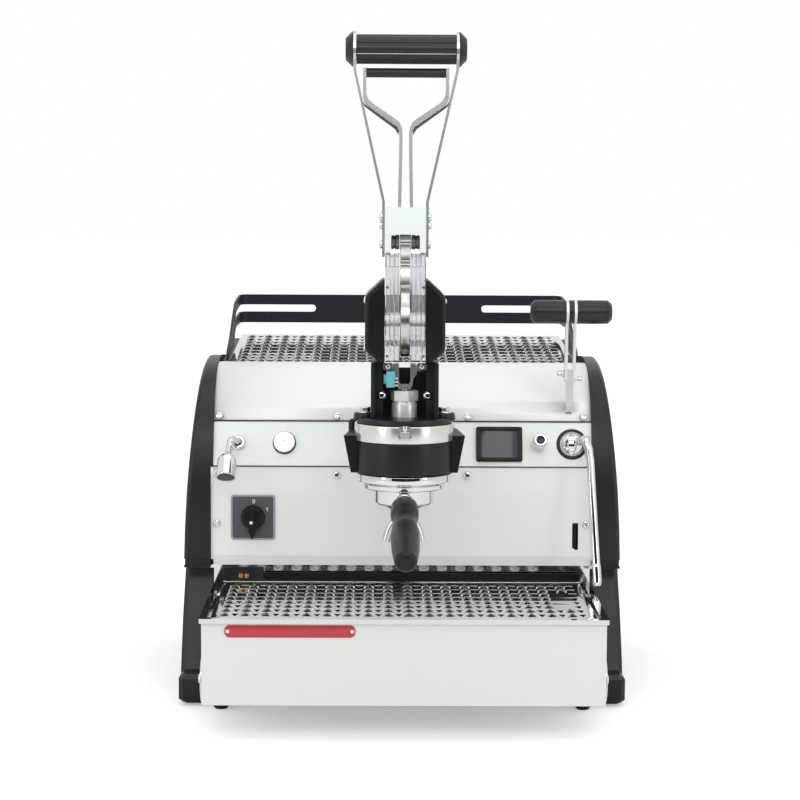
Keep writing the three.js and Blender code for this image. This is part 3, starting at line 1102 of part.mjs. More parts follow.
// Steam lever: bent blade through the hood, block, two strips and a black grip; its valve under the hood
function addSteamLever() {
  const s = steamLever;
  const group = new THREE.Group();
  group.position.x = steamSlotX;
  assembly.add(group);
  const { y, z } = steamPivot;
  const t = s.bladeDepth;
  const faceY = y - s.forward;
  const elbow = z + s.climb;
  const blockLow = z + s.blockRise;
  const gripY = faceY - s.gripForward;
  const gripZ = z + s.gripRise;
  const blade = alongX(outline([
    [y - s.boss / 2, z - s.boss], [y + s.boss / 2, z - s.boss], [y + s.boss, z], [y + s.boss / 2, z + s.boss],
    [faceY + t, elbow + t], [faceY + t, blockLow + edge], [faceY - t, blockLow + edge],
    [faceY - t, elbow - t / 2], [y - s.boss, z],
  ]), -s.bladeHalf, s.bladeHalf);
  const hub = block(-s.blockHalf, s.blockHalf, faceY - s.blockDepth, faceY + s.blockDepth, blockLow,
    blockLow + s.blockHeight);
  const stripIn = s.stripX - s.stripThick / 2;
  const stripOut = s.stripX + s.stripThick / 2;
  const leanStrip = (x0, x1) => alongX(outline([
    [faceY - s.stripHalf, blockLow + edge], [faceY + s.stripHalf, blockLow + edge],
    [gripY + s.stripHalf, gripZ], [gripY - s.stripHalf, gripZ],
  ]), x0, x1);
  const eye = (x0, x1) => closed(turnedX([[0, x0], [s.eye, x0], [s.eye, x1], [0, x1]], plainSteps)
    .translate(0, gripY, gripZ));
  const bore = (radius, half, atY, atZ) => closed(
    turnedX([[0, -half], [radius, -half], [radius, half], [0, half]], smallSteps).translate(0, atY, atZ));
  const lever = cut(join(blade, hub, leanStrip(stripIn, stripOut), leanStrip(-stripOut, -stripIn),
    eye(stripIn, stripOut), eye(-stripOut, -stripIn)),
  bore(s.gripPin + slip, stripOut + over, gripY, gripZ), bore(s.pin + slip, s.bladeHalf + over, y, z));
  add('steam_lever', lever, 'polished', group);

  const r = s.gripRadius;
  const gripProfile = [
    [0, -s.gripHalf], [r - s.gripChamfer, -s.gripHalf], [r, -s.gripHalf + s.gripChamfer], [r, -stripOut - slip],
    [s.gripPin, -stripOut - slip], [s.gripPin, -stripIn + slip], [r, -stripIn + slip], [r, stripIn - slip],
    [s.gripPin, stripIn - slip], [s.gripPin, stripOut + slip], [r, stripOut + slip],
    [r, s.gripHalf - s.gripChamfer], [r - s.gripChamfer, s.gripHalf], [0, s.gripHalf],
  ];
  add('steam_lever_grip', turnedX(gripProfile, plainSteps), 'grip', group).position.set(0, gripY, gripZ);

  const v = valve;
  const low = z - v.drop;
  const rear = y + v.behind;
  const cheekIn = s.bladeHalf + slip;
  const cheek = (way) => block(Math.min(way * cheekIn, way * (cheekIn + edge)),
    Math.max(way * cheekIn, way * (cheekIn + edge)), y - edge, y + v.stand + edge, z - v.cheekDrop,
    z + edge + s.pin);
  const pin = bore(s.pin, s.bladeHalf + edge, y, z);
  const bodyBlock = block(-v.half, v.half, y + v.stand, rear, low, low + v.height);
  const stand = block(-v.stand, v.stand, rear - v.stand * 2, rear, floor, low + edge);
  add('steam_valve', join(bodyBlock, cheek(1), cheek(-1), pin, stand), 'brass', group);
}

// Inside the body: boilers, pump and control box on the deck plate
function addInside() {
  const b = boiler;
  const y = frameRear - b.fromRear;
  const z = floor + b.rise;
  const half = machine.inner - b.inset;
  const end = half + b.cap;
  const outside = turnedX([[0, -end], [b.radius - b.cap, -end], [b.radius, -half], [b.radius, half],
    [b.radius - b.cap, end], [0, end]], plainSteps).translate(0, y, z);
  const inside = turnedX([[0, b.wall - end], [b.radius - b.cap - b.wall, b.wall - end],
    [b.radius - b.wall, -half], [b.radius - b.wall, half], [b.port, end - b.wall], [b.port, end + over],
    [0, end + over]], plainSteps).translate(0, y, z);
  const cradleHalf = half - b.cradleInset;
  const cradle = block(-cradleHalf, cradleHalf, y - b.cradleWidth, y + b.cradleWidth, floor, z);
  add('steam_boiler', cut(join(closed(outside), cradle), closed(inside)), 'polished');

  const w = brew;
  const brewY = neckEnd + w.behindNeck;
  const neckLow = groupLip + neck.low;
  const neckTop = neckLow + neck.height;
  const low = neckLow - w.below;
  const high = neckTop + w.above;
  const vessel = turnedZ([[0, low], [w.radius - edge, low], [w.radius, low + edge], [w.radius, high - w.dome],
    [w.radius - w.dome, high], [0, high]], plainSteps).translate(0, brewY, 0);
  const flange = block(-neck.half, neck.half, neckEnd + slip, neckEnd + slip + w.flange, neckLow, neckTop);
  const post = block(-w.post, w.post, brewY - w.post, brewY + w.post, floor, low + edge);
  add('brew_boiler', join(closed(vessel), flange, post), 'polished');

  const p = pump;
  const motor = turnedX([[0, -p.half], [p.motor, -p.half], [p.motor, 0], [p.radius, 0], [p.radius, p.half],
    [0, p.half]], stubSteps);
  const front = sillToe + p.behindSill;
  const middle = front + p.half;
  const x = p.inset - machine.inner;
  const motorPlaced = closed(motor.rotateZ(Math.PI / 2).translate(x, middle, floor + p.rise));
  const stand = block(x - p.foot, x + p.foot, front + edge, middle + p.half - edge, floor,
    floor + p.rise - p.saddle);
  add('water_pump', join(motorPlaced, stand), 'grey');

  const c = controls;
  const boxFront = sillToe + c.behindSill;
  add('control_box', block(w.radius + c.fromBrew, machine.inner - c.inset, boxFront, boxFront + c.depth, floor,
    floor + c.height), 'black');
}

addBase();
addSides();
addDripTray();
addBody();
addCupDeck();
const groupParts = addGroup();
addLever(groupParts);
addPortafilter(groupParts);
addConsoleParts();
addWand();
addSpout();
addSwitch();
addSteamLever();
addInside();

export default whole;
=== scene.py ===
"""The looks of a lever espresso machine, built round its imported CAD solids.

Places are written in millimetres from the machine's middle, the front of its drip
tray and the floor, and turned into the row frame by at(). A piece's owner is the CAD
node that it stands for or, where it is an extra, the body that it rides on.
"""

import json
import math

import bmesh
import bpy
from mathutils import Matrix, Vector

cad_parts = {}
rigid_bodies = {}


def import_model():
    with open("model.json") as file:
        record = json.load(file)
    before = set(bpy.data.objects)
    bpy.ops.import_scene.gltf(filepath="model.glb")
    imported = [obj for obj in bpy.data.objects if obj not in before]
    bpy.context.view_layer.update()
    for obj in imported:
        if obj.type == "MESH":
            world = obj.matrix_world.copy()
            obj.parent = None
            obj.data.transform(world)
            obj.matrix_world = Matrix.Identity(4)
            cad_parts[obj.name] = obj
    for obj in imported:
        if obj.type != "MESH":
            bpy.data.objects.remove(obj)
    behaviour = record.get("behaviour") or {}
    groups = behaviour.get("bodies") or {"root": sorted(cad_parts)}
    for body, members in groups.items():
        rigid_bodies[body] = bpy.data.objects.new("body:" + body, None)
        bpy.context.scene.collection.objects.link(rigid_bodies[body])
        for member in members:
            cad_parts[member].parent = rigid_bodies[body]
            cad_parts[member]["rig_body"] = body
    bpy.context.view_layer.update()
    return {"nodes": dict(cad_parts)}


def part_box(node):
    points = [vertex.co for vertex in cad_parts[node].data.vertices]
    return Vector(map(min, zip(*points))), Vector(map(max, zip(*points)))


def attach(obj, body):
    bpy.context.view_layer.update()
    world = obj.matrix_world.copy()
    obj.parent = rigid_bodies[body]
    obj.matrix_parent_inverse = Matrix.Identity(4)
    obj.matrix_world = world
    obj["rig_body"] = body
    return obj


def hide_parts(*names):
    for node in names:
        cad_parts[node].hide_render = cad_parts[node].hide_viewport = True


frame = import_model()
nodes = frame["nodes"]

MM = 0.001
TRAY_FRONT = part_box("drip_basin")[0].y
X_AXIS, Y_AXIS, Z_AXIS = Vector((1, 0, 0)), Vector((0, 1, 0)), Vector((0, 0, 1))
FORWARD = Vector((0, -1, 0))
SIDES = (("left", -1), ("right", 1))
ROUND = 64  # sides of a turned piece
FINE = 128  # sides of a large turned piece


def at(x, y, z):
    """The place x, y, z, in millimetres, in the row frame."""
    return Vector((x * MM, y * MM + TRAY_FRONT, z * MM))


def low_high(node):
    """A CAD node's box in the millimetres of at()."""
    return [(c - Vector((0, TRAY_FRONT, 0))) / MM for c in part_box(node)]


# Materials


def linear(srgb):
    """A colour written as 0 to 255 screen values, as the shader wants it."""
    c = [v / 255 for v in srgb]
    return (*[v / 12.92 if v <= 0.04045 else ((v + 0.055) / 1.055) ** 2.4 for v in c], 1)


def set_inputs(node, **values):
    """Sets a shader node's inputs; an underline in a name stands for a space."""
    for socket, value in values.items():
        node.inputs[socket.replace("_", " ")].default_value = value


def add(tree, kind, **values):
    """A new shader node with some of its inputs set."""
    node = tree.nodes.new("ShaderNode" + kind)
    set_inputs(node, **values)
    return node


def material(name, slot, srgb, metallic=0.0, roughness=0.5, grain=400, bump=0.0, spread=0.0, mottle=0.0,
             **sockets):
    """A procedural surface: noise moves the roughness by spread and the colour by mottle."""
    made = bpy.data.materials.new(name)
    made.use_nodes = True
    tree = made.node_tree
    link = tree.links.new
    shader = tree.nodes["Principled BSDF"]
    base = linear(srgb)
    set_inputs(shader, Base_Color=base, Metallic=metallic, Roughness=roughness, **sockets)
    place = add(tree, "TexCoord")
    stretch = add(tree, "Mapping", Scale=grain if isinstance(grain, tuple) else (grain, grain, grain))
    noise = add(tree, "TexNoise", Scale=1, Detail=4)
    link(place.outputs["Object"], stretch.inputs["Vector"])
    link(stretch.outputs["Vector"], noise.inputs["Vector"])
    if spread:
        level = add(tree, "MapRange", To_Min=roughness - spread, To_Max=roughness + spread)
        link(noise.outputs["Fac"], level.inputs["Value"])
        link(level.outputs["Result"], shader.inputs["Roughness"])
    if mottle:
        tint = add(tree, "MixRGB", Color1=(*[v * (1 - mottle) for v in base[:3]], 1),
                   Color2=(*[min(1, v * (1 + mottle)) for v in base[:3]], 1))
        link(noise.outputs["Fac"], tint.inputs["Fac"])
        link(tint.outputs["Color"], shader.inputs["Base Color"])
    if bump:
        relief = add(tree, "Bump", Strength=0.6, Distance=bump * MM)
        link(noise.outputs["Fac"], relief.inputs["Height"])
        link(relief.outputs["Normal"], shader.inputs["Normal"])
    return made


ACROSS = (14, 900, 900)  # grain that runs across the machine
TURNED = (120, 120, 1500)  # grain that runs round an upright piece
panel_steel = material("panel_steel", "satin_steel", (233, 233, 231), 0.2, 0.55, ACROSS, 0.003, 0.04)
band_steel = material("band_steel", "satin_steel", (222, 228, 222), 0.3, 0.5, ACROSS, 0.003, 0.04)
base_steel = material("base_steel", "satin_steel", (222, 223, 220), 0.3, 0.5, ACROSS, 0.003, 0.04)
tray_steel = material("tray_steel", "polished_steel", (222, 222, 220), 1, 0.07, 60, 0, 0.02)
chrome = material("chrome", "chrome", (226, 227, 228), 1, 0.04, 80, 0, 0.015)
turned_steel = material("turned_steel", "polished_steel", (226, 225, 220), 0.85, 0.2, TURNED, 0.002, 0.04)
sleeve_steel = material("sleeve_steel", "polished_steel", (226, 226, 224), 0.45, 0.3, TURNED, 0.002, 0.04)
rod_steel = material("rod_steel", "polished_steel", (205, 206, 204), 1, 0.22, (200, 200, 60), 0, 0.05)
screw_steel = material("screw_steel", "polished_steel", (222, 223, 222), 1, 0.14, 300, 0.003, 0.05)
# dark steel for the stops and rollers; below the trigger's slanted part it is painted shade
dark_steel_and_shade = material("dark_steel_and_shade", "polished_steel", (120, 120, 118), 1, 0.3, 200, 0.003, 0.06)
arm_steel = material("arm_steel", "polished_steel", (208, 213, 217), 1, 0.3, (60, 60, 900), 0.002, 0.05)
trigger_steel = material("trigger_steel", "polished_steel", (196, 197, 190), 0.9, 0.38, 500, 0.004, 0.06)
wand_steel = material("wand_steel", "polished_steel", (226, 227, 226), 1, 0.07, 60, 0, 0.02)
spun_steel = material("spun_steel", "polished_steel", (232, 232, 231), 1, 0.2, 900, 0.002, 0.04)
bright_block = material("bright_block", "bright_block", (229, 237, 240), 0.3, 0.45, (1200, 40, 40), 0.003,
                        0.05)
black_coat = material("black_coat", "black_frame", (17, 19, 21), 0, 0.36, 900, 0.02, 0.05, 0.06,
                      Specular_IOR_Level=0.4)
black_sheet = material("black_sheet", "black_sheet", (30, 35, 43), 0, 0.4, 900, 0.02, 0.05, 0.06,
                       Specular_IOR_Level=0.25)
black_plastic = material("black_plastic", "grip", (15, 15, 17), 0, 0.34, 1500, 0.01, 0.05,
                         Specular_IOR_Level=0.25)
grip_rubber = material("grip_rubber", "grip", (9, 10, 11), 0, 0.34, 1800, 0.01, 0.05, Specular_IOR_Level=0.35)
grip_black = material("grip_black", "grip", (34, 38, 42), 0, 0.3, 1500, 0.008, 0.05, Specular_IOR_Level=0.35)
band_black = material("band_black", "grip", (14, 16, 18), 0, 0.36, 900, 0.008, 0.05, Specular_IOR_Level=0.35)
foot_rubber = material("foot_rubber", "rubber", (24, 24, 25), 0, 0.8, 700, 0.05, 0.08)
# painted shade: a near-black that stands for the shade in gaps, used on the strips in the gaps round the
# control band, the ring round the water button and the grip's core between its bar and caps
gap_shade = material("gap_shade", "black_sheet", (16, 17, 18), 0, 0.6, spread=0.05)
brass = material("brass", "brass", (186, 146, 84), 1, 0.28, 300, 0.004, 0.08, 0.08)
teal = material("teal", "teal", (96, 178, 186), 0, 0.45, 600, 0.01, 0.05, 0.05)
switch_grey = material("switch_grey", "grey", (80, 82, 88), 0.2, 0.4, 1000, 0.008, 0.06)
switch_rim = material("switch_rim", "grey", (158, 162, 174), 0.5, 0.25, spread=0.04)
pale_mark = material("pale_mark", "grey", (222, 222, 220), 0, 0.5, spread=0.04)
red_enamel = material("red_enamel", "grey", (176, 44, 52), 0, 0.3, 500, 0.004, 0.04, Coat_Weight=0.4)
screen_glass = material("screen_glass", "grip", (52, 58, 64), 0, 0.12, 30, 0, 0.03, Specular_IOR_Level=0.35)
clear_plastic = material("clear_plastic", "clear", (251, 251, 255), 0, 0.03, 60, 0, 0.01,
                         Transmission_Weight=0.9, IOR=1.16)
smoke_plastic = material("smoke_plastic", "clear", (70, 72, 76), 0, 0.12, 60, 0, 0.03,
                         Transmission_Weight=0.7, IOR=1.3)


# Making pieces


def new_object(name, data):
    """An object in the scene."""
    obj = bpy.data.objects.new(name, data)
    bpy.context.scene.collection.objects.link(obj)
    return obj


def cleaned(mesh, gap=1e-6, sliver=0.0):
    """Merges points closer than gap metres and turns the faces outwards."""
    work = bmesh.new()
    work.from_mesh(mesh)
    bmesh.ops.remove_doubles(work, verts=work.verts, dist=gap)
    if sliver:
        bmesh.ops.dissolve_degenerate(work, edges=work.edges, dist=sliver)
    bmesh.ops.recalc_face_normals(work, faces=work.faces)
    work.to_mesh(mesh)
    work.free()
    return mesh


def new_mesh(name, points, faces, **cleaning):
    """A mesh from points in metres."""
    mesh = bpy.data.meshes.new(name)
    mesh.from_pydata([tuple(p) for p in points], [], faces)
    return cleaned(mesh, **cleaning)


def shade(mesh, sharp):
    """Smooth shading between edges that turn by more than sharp degrees."""
    mesh.shade_smooth()
    mesh.set_sharp_from_angle(angle=math.radians(sharp))


def finish_piece(obj, surface, owner, sharp=35):
    """Gives a piece its surface, shading and body, and hides the CAD node that it stands for."""
    obj.data.materials.clear()
    obj.data.materials.append(surface)
    shade(obj.data, sharp)
    stands_for_node = owner in nodes
    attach(obj, nodes[owner]["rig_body"] if stands_for_node else owner)
    if stands_for_node:
        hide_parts(owner)
    return obj


def soften(obj, width):
    """Rounds the hard edges of a piece or a CAD node by width millimetres."""
    edge = obj.modifiers.new("rounded_edges", "BEVEL")
    edge.width = width * MM
    edge.segments = 2
    edge.limit_method = "ANGLE"
    edge.angle_limit = math.radians(32)
    edge.harden_normals = True
    edge.use_clamp_overlap = True


def thicken(obj, width, offset):
    """Gives a sheet its thickness in millimetres."""
    thick = obj.modifiers.new("thickness", "SOLIDIFY")
    thick.thickness = width * MM
    thick.offset = offset


def piece(name, points, faces, surface, owner="machine", sharp=35, bevel=0.0, **cleaning):
    """A mesh piece from points in metres."""
    obj = new_object(name, new_mesh(name, points, faces, **cleaning))
    finish_piece(obj, surface, owner, sharp)
    if bevel:
        soften(obj, bevel)
    return obj


def turned(name, profile, place, direction, surface, owner="machine", sides=ROUND):
    """A turned piece: profile holds (radius, place along the axis) in millimetres, from end to end."""
    lie = Vector(direction).normalized().to_track_quat("Z", "Y").to_matrix().to_4x4()
    matrix = Matrix.Translation(place) @ lie
    points, rings = [], []
    for radius, along in profile:
        on_axis = radius < 1e-6
        count = 1 if on_axis else sides
        rings.append(range(len(points), len(points) + count))
        for i in range(count):
            a = 2 * math.pi * i / sides
            across = (0, 0) if on_axis else (radius * math.cos(a), radius * math.sin(a))
            points.append(matrix @ (Vector((*across, along)) * MM))
    faces = []
    for first, second in zip(rings, rings[1:]):
        for i in range(sides):
            j = (i + 1) % sides
            quad = (first[i % len(first)], first[j % len(first)], second[j % len(second)],
                    second[i % len(second)])
            face = list(dict.fromkeys(quad))
            if len(face) > 2:
                faces.append(face)
    return piece(name, points, faces, surface, owner, sharp=30)


def eased(profile, ease=0.6, steps=3):
    """Rounds the corners of a turned profile by ease millimetres."""
    out = [profile[0]]
    for before, here, after in zip(profile, profile[1:], profile[2:]):
        b, h, a = Vector(before), Vector(here), Vector(after)
        to_b, to_a = b - h, a - h
        if min(to_b.length, to_a.length) < 1e-6:
            continue
        room = min(ease, to_b.length * 0.45, to_a.length * 0.45)
        start, end = h + to_b.normalized() * room, h + to_a.normalized() * room
        for k in range(steps + 1):
            t = k / steps
            p = start * (1 - t) ** 2 + h * 2 * t * (1 - t) + end * t ** 2
            out.append((p.x, p.y))
    out.append(profile[-1])
    return out


def softened(outline, ease):
    """A closed outline with its corners rounded."""
    return eased([outline[-1], *outline, outline[0]], ease)[1:-1]


def rod(radius, low, high, ease=0.0, inner=0):
    """The profile of a plain rod, or of a ring where inner isn't zero."""
    line = [(inner, low), (radius, low), (radius, high), (inner, high)]
    return eased(line, ease) if ease else line


def smooth_curve(points, steps=6):
    """A smooth run of places through a few given ones."""
    pts = [Vector(p) for p in points]
    pts = [2 * pts[0] - pts[1], *pts, 2 * pts[-1] - pts[-2]]
    out = []
    for p0, p1, p2, p3 in zip(pts, pts[1:], pts[2:], pts[3:]):
        for k in range(steps):
            t = k / steps
            out.append(0.5 * (2 * p1 + (p2 - p0) * t + (2 * p0 - 5 * p1 + 4 * p2 - p3) * t ** 2
                              + (3 * p1 - p0 - 3 * p2 + p3) * t ** 3))
    out.append(pts[-2])
    return out


def flat_slab(name, outlines, low, high, matrix, surface, bevel=0.3):
    """A plate from closed outlines (holes inside the first), from low to high along the matrix's Z."""
    curve = bpy.data.curves.new(name, "CURVE")
    curve.dimensions = "2D"
    curve.fill_mode = "BOTH"
    bevel = min(bevel, (high - low) * 0.4)
    curve.extrude = ((high - low) / 2 - bevel) * MM
    curve.bevel_depth = bevel * MM
    curve.bevel_resolution = 1
    curve.offset = -bevel * MM
    for outline in outlines:
        spline = curve.splines.new("POLY")
        spline.points.add(len(outline) - 1)
        spline.use_cyclic_u = True
        for point, (x, y) in zip(spline.points, outline):
            point.co = (x * MM, y * MM, 0, 1)
    drawn = new_object(name + "_curve", curve)
    mesh = bpy.data.meshes.new_from_object(drawn.evaluated_get(bpy.context.evaluated_depsgraph_get()))
    bpy.data.objects.remove(drawn)
    mesh.name = name
    mesh.transform(matrix @ Matrix.Translation(Vector((0, 0, (low + high) / 2 * MM))))
    return finish_piece(new_object(name, cleaned(mesh, gap=2e-6)), surface, "machine")


def frame_at(origin, x_direction, y_direction):
    """A matrix whose X and Y follow two directions, with Z square to both."""
    x, y = Vector(x_direction).normalized(), Vector(y_direction).normalized()
    turn = Matrix((x, y, x.cross(y))).transposed().to_4x4()
    return Matrix.Translation(origin) @ turn


def rounded(half_x, half_y, radius, centre=(0, 0), steps=6):
    """A rectangle with round corners."""
    cx, cy = centre
    out = []
    for sx, sy, first in ((1, -1, -90), (1, 1, 0), (-1, 1, 90), (-1, -1, 180)):
        for k in range(steps + 1):
            a = math.radians(first + 90 * k / steps)
            out.append((cx + sx * (half_x - radius) + radius * math.cos(a),
                        cy + sy * (half_y - radius) + radius * math.sin(a)))
    return out


def corners(x0, x1, y0, y1):
    """A plain rectangle."""
    return [(x0, y0), (x1, y0), (x1, y1), (x0, y1)]


def hexagon(radius, turn=0.0):
    angles = [turn + math.pi / 3 * k for k in range(6)]
    return [(radius * math.cos(a), radius * math.sin(a)) for a in angles]


def mirrored(outline):
    """The same outline on the other side."""
    return [(-x, z) for x, z in outline]


def tube(name, path, radius, surface, owner, sides=32):
    """A round bar along places in metres, with closed ends."""
    points, faces, rows = [], [], []
    radius *= MM
    tangents = [(b - a).normalized() for a, b in zip(path, path[1:])]
    tangents = [tangents[0], *[(a + b).normalized() for a, b in zip(tangents, tangents[1:])], tangents[-1]]
    normal = tangents[0].orthogonal().normalized()
    for place, tangent in zip(path, tangents):
        normal = (normal - tangent * normal.dot(tangent)).normalized()
        side = tangent.cross(normal)
        rows.append(len(points))
        points += [place + (normal * math.cos(a) + side * math.sin(a)) * radius
                   for a in (2 * math.pi * i / sides for i in range(sides))]
    for first, second in zip(rows, rows[1:]):
        faces += [(first + i, first + (i + 1) % sides, second + (i + 1) % sides, second + i)
                  for i in range(sides)]
    faces += [tuple(range(sides)), tuple(range(rows[-1], rows[-1] + sides))]
    return piece(name, points, faces, surface, owner, sharp=50)


def prism(outline, low, high, matrix):
    """Points and faces of an outline drawn from low to high along the matrix's Z."""
    n = len(outline)
    points = [matrix @ (Vector((x, y, z)) * MM) for z in (low, high) for x, y in outline]
    faces = [tuple(range(n)), tuple(range(n, 2 * n))]
    faces += [(i, (i + 1) % n, n + (i + 1) % n, n + i) for i in range(n)]
    return points, faces


def swept(name, outline, low, high, matrix, surface, owner="machine", bevel=0.0):
    """A prism with its edges rounded."""
    return piece(name, *prism(outline, low, high, matrix), surface, owner, bevel=bevel)


FRONT = frame_at(at(0, 0, 0), X_AXIS, Z_AXIS)  # outlines across and up; its Z is minus the depth
PLAN = Matrix.Translation(at(0, 0, 0))  # outlines across and back; its Z is up


def slab(name, outline, front, rear, surface, owner="machine", bevel=0.5):
    """A prism of an outline across and up, between two depths."""
    return swept(name, outline, -rear, -front, FRONT, surface, owner, bevel)


def carve(obj, outline, low, high, matrix):
    """Takes a prism out of a piece."""
    form = new_object("cutter", new_mesh("cutter", *prism(outline, low, high, matrix)))
    cut = obj.modifiers.new("cut", "BOOLEAN")
    cut.operation, cut.solver, cut.object = "DIFFERENCE", "EXACT", form
    carved = bpy.data.meshes.new_from_object(obj.evaluated_get(bpy.context.evaluated_depsgraph_get()))
    obj.modifiers.clear()
    obj.data = carved
    shade(carved, 35)
    bpy.data.objects.remove(form)


def joined(name, parts):
    """One piece from several that share a body."""
    bpy.ops.object.select_all(action="DESELECT")
    for part in parts:
        part.select_set(True)
    bpy.context.view_layer.objects.active = parts[0]
    bpy.ops.object.join()
    parts[0].name = name
    return parts[0]


def dome_screw(name, place, direction, radius, surface=screw_steel, owner="machine", height=None):
    """A round-headed screw with a socket."""
    height = height or radius * 0.62
    profile = [(0, height * 0.35), (radius * 0.42, height * 0.35), (radius * 0.46, height)]
    for k in range(1, 6):
        a = k / 5 * math.pi / 2
        profile.append((radius * (0.46 + 0.54 * math.sin(a)), height * (0.3 + 0.7 * math.cos(a))))
    profile += [(radius, -0.2), (0, -0.2)]
    return turned(name, profile, place, direction, surface, owner, sides=24)


def strips(rows, n, closed=True):
    """Faces between rows of n points each, which run in rings where closed."""
    return [(r * n + i, r * n + (i + 1) % n, (r + 1) * n + (i + 1) % n, (r + 1) * n + i)
            for r in range(rows - 1) for i in range(n if closed else n - 1)]


def loft(name, rings, surface, owner="machine", sharp=35, bevel=0.0):
    """A closed form through rings of places, each with as many points, with flat ends."""
    n, points = len(rings[0]), [p for ring in rings for p in ring]
    faces = strips(len(rings), n) + [tuple(range(n)), tuple(range(len(points) - n, len(points)))]
    return piece(name, points, faces, surface, owner, sharp, bevel)


def coat(surface, names, bevel=0.3):
    """Keeps CAD nodes as they are and gives them a surface and rounded edges."""
    for name in names.split():
        nodes[name].data.materials.clear()
        nodes[name].data.materials.append(surface)
        if bevel:
            soften(nodes[name], bevel)


# Control band directions

TILT = math.radians(17.9)
CONSOLE_FOOT = (235, 281.5)
OUT = Vector((0, -math.cos(TILT), math.sin(TILT)))
UP_SLOPE = Vector((0, math.sin(TILT), math.cos(TILT)))


def on_console(x, out, up):
    """A place on the control band: across, out of its face and up its slope."""
    return at(x, *CONSOLE_FOOT) + (OUT * out + UP_SLOPE * up) * MM


def console_frame(x, up):
    """A frame lying on the control band; its Z points out."""
    return frame_at(on_console(x, 0, up), X_AXIS, UP_SLOPE)


# CAD nodes that keep their own form

coat(base_steel, "front_base_panel", 0.35)
coat(panel_steel, "lower_panel rear_panel", 0.35)
coat(band_steel, "control_panel")
coat(base_steel, "base_pan")
coat(tray_steel, "deck_plate splash_wall")
coat(tray_steel, "drip_basin", 0.4)
coat(black_sheet, "cup_well control_box")
coat(black_coat, "left_base_side right_base_side", 3)
coat(foot_rubber, "front_left_foot front_right_foot rear_left_foot rear_right_foot", 0)
coat(turned_steel, "steam_boiler brew_boiler steam_valve")
coat(turned_steel, "shower_screen pivot_shaft", 0)
coat(turned_steel, "portafilter_basket", 0.2)
coat(switch_grey, "water_pump")
coat(black_plastic, "steam_socket")
coat(teal, "pressure_sensor", 0.7)
coat(bright_block, "yoke_block", 1.0)
coat(arm_steel, "left_lever_arm right_lever_arm", 0.9)
coat(sleeve_steel, "steam_lever", 0.6)

# Body sides: the front line stands upright, then sweeps back to the shoulder and falls to the rear

BROW, STRAIGHT, SHOULDER = 0.5, 90, 152
PULL_UP, LEAN_UP = 141, math.radians(6)
PULL_BACK, LEAN_BACK = 78, math.radians(3)
SWEEP_STEPS = 44
NARROW, NARROW_POWER = 18.7, 1.6  # how far the outer face leans in at the top, and how evenly
REAR_DROP = 16  # fall of the top edge towards the rear
FRAME_EDGE = 5.5  # rounding of the outer edge
FRAME_FOOT = 167.5  # where the skin ends above its plinth
HALF_OPENING = 229.6  # half the room between the side frames
REBATE = dict(across=2.8, deep=9, up_to=281.5)  # room for the lower panel's edge
SPREAD = [0, 0.25, 0.7, 1.4, 2.4, 3.8, 5.5, 8, 12, 18, 27, 40, 60, 90]  # rows of points behind an edge


def side_line(low, high):
    """Front and top line of a body side as (depth, height)."""
    first = Vector((low.y, low.z + STRAIGHT))
    last = Vector((low.y + SHOULDER, high.z))
    up = first + PULL_UP * Vector((math.sin(LEAN_UP), math.cos(LEAN_UP)))
    back = last - PULL_BACK * Vector((math.cos(LEAN_BACK), math.sin(LEAN_BACK)))
    line = [Vector((low.y + BROW, FRAME_FOOT)), (Vector((low.y + BROW, low.z)) + first) / 2]
    for k in range(SWEEP_STEPS + 1):
        t = k / SWEEP_STEPS
        u = 1 - t
        line.append(first * u ** 3 + 3 * up * t * u ** 2 + 3 * back * t * t * u + last * t ** 3)
    return line


def away_from(line, point):
    """How far a point lies from a line of places."""
    best = 1e9
    for a, b in zip(line, line[1:]):
        along = max(0, min(1, (point - a).dot(b - a) / max((b - a).length_squared, 1e-9)))
        best = min(best, (a.lerp(b, along) - point).length)
    return best


def side_frame(node, way):
    """A body side with a rounded outer edge all along its front, top and rear."""
    low, high = low_high(node)
    inner, outer = sorted((abs(low.x), abs(high.x)))
    line = side_line(low, high)
    border = [*line, Vector((high.y, high.z - REAR_DROP)), Vector((high.y, FRAME_FOOT))]
    rings = []
    for front in line:
        share = (front.y - low.z) / (high.z - low.z)
        reach = outer - NARROW * share ** NARROW_POWER
        step = REBATE["across"] if front.y < REBATE["up_to"] else 0
        behind = front.x + REBATE["deep"]
        ring = [(inner, behind, front.y), (inner + step, behind, front.y), (inner + step, front.x, front.y)]
        for y in [front.x + s for s in SPREAD] + [high.y - s for s in reversed(SPREAD[:7])]:
            z = front.y - REAR_DROP * share * (y - front.x) / (high.y - front.x)
            gone = max(0, FRAME_EDGE - away_from(border, Vector((y, z))))
            ring.append((reach - FRAME_EDGE + math.sqrt(FRAME_EDGE ** 2 - gone ** 2), y, z))
        ring.append((inner, high.y, ring[-1][2]))
        rings.append([at(way * x, y, z) for x, y, z in ring])
    loft(node + "_skin", rings, black_coat, node, sharp=50)


for side, way in SIDES:
    side_frame(f"{side}_body_side", way)

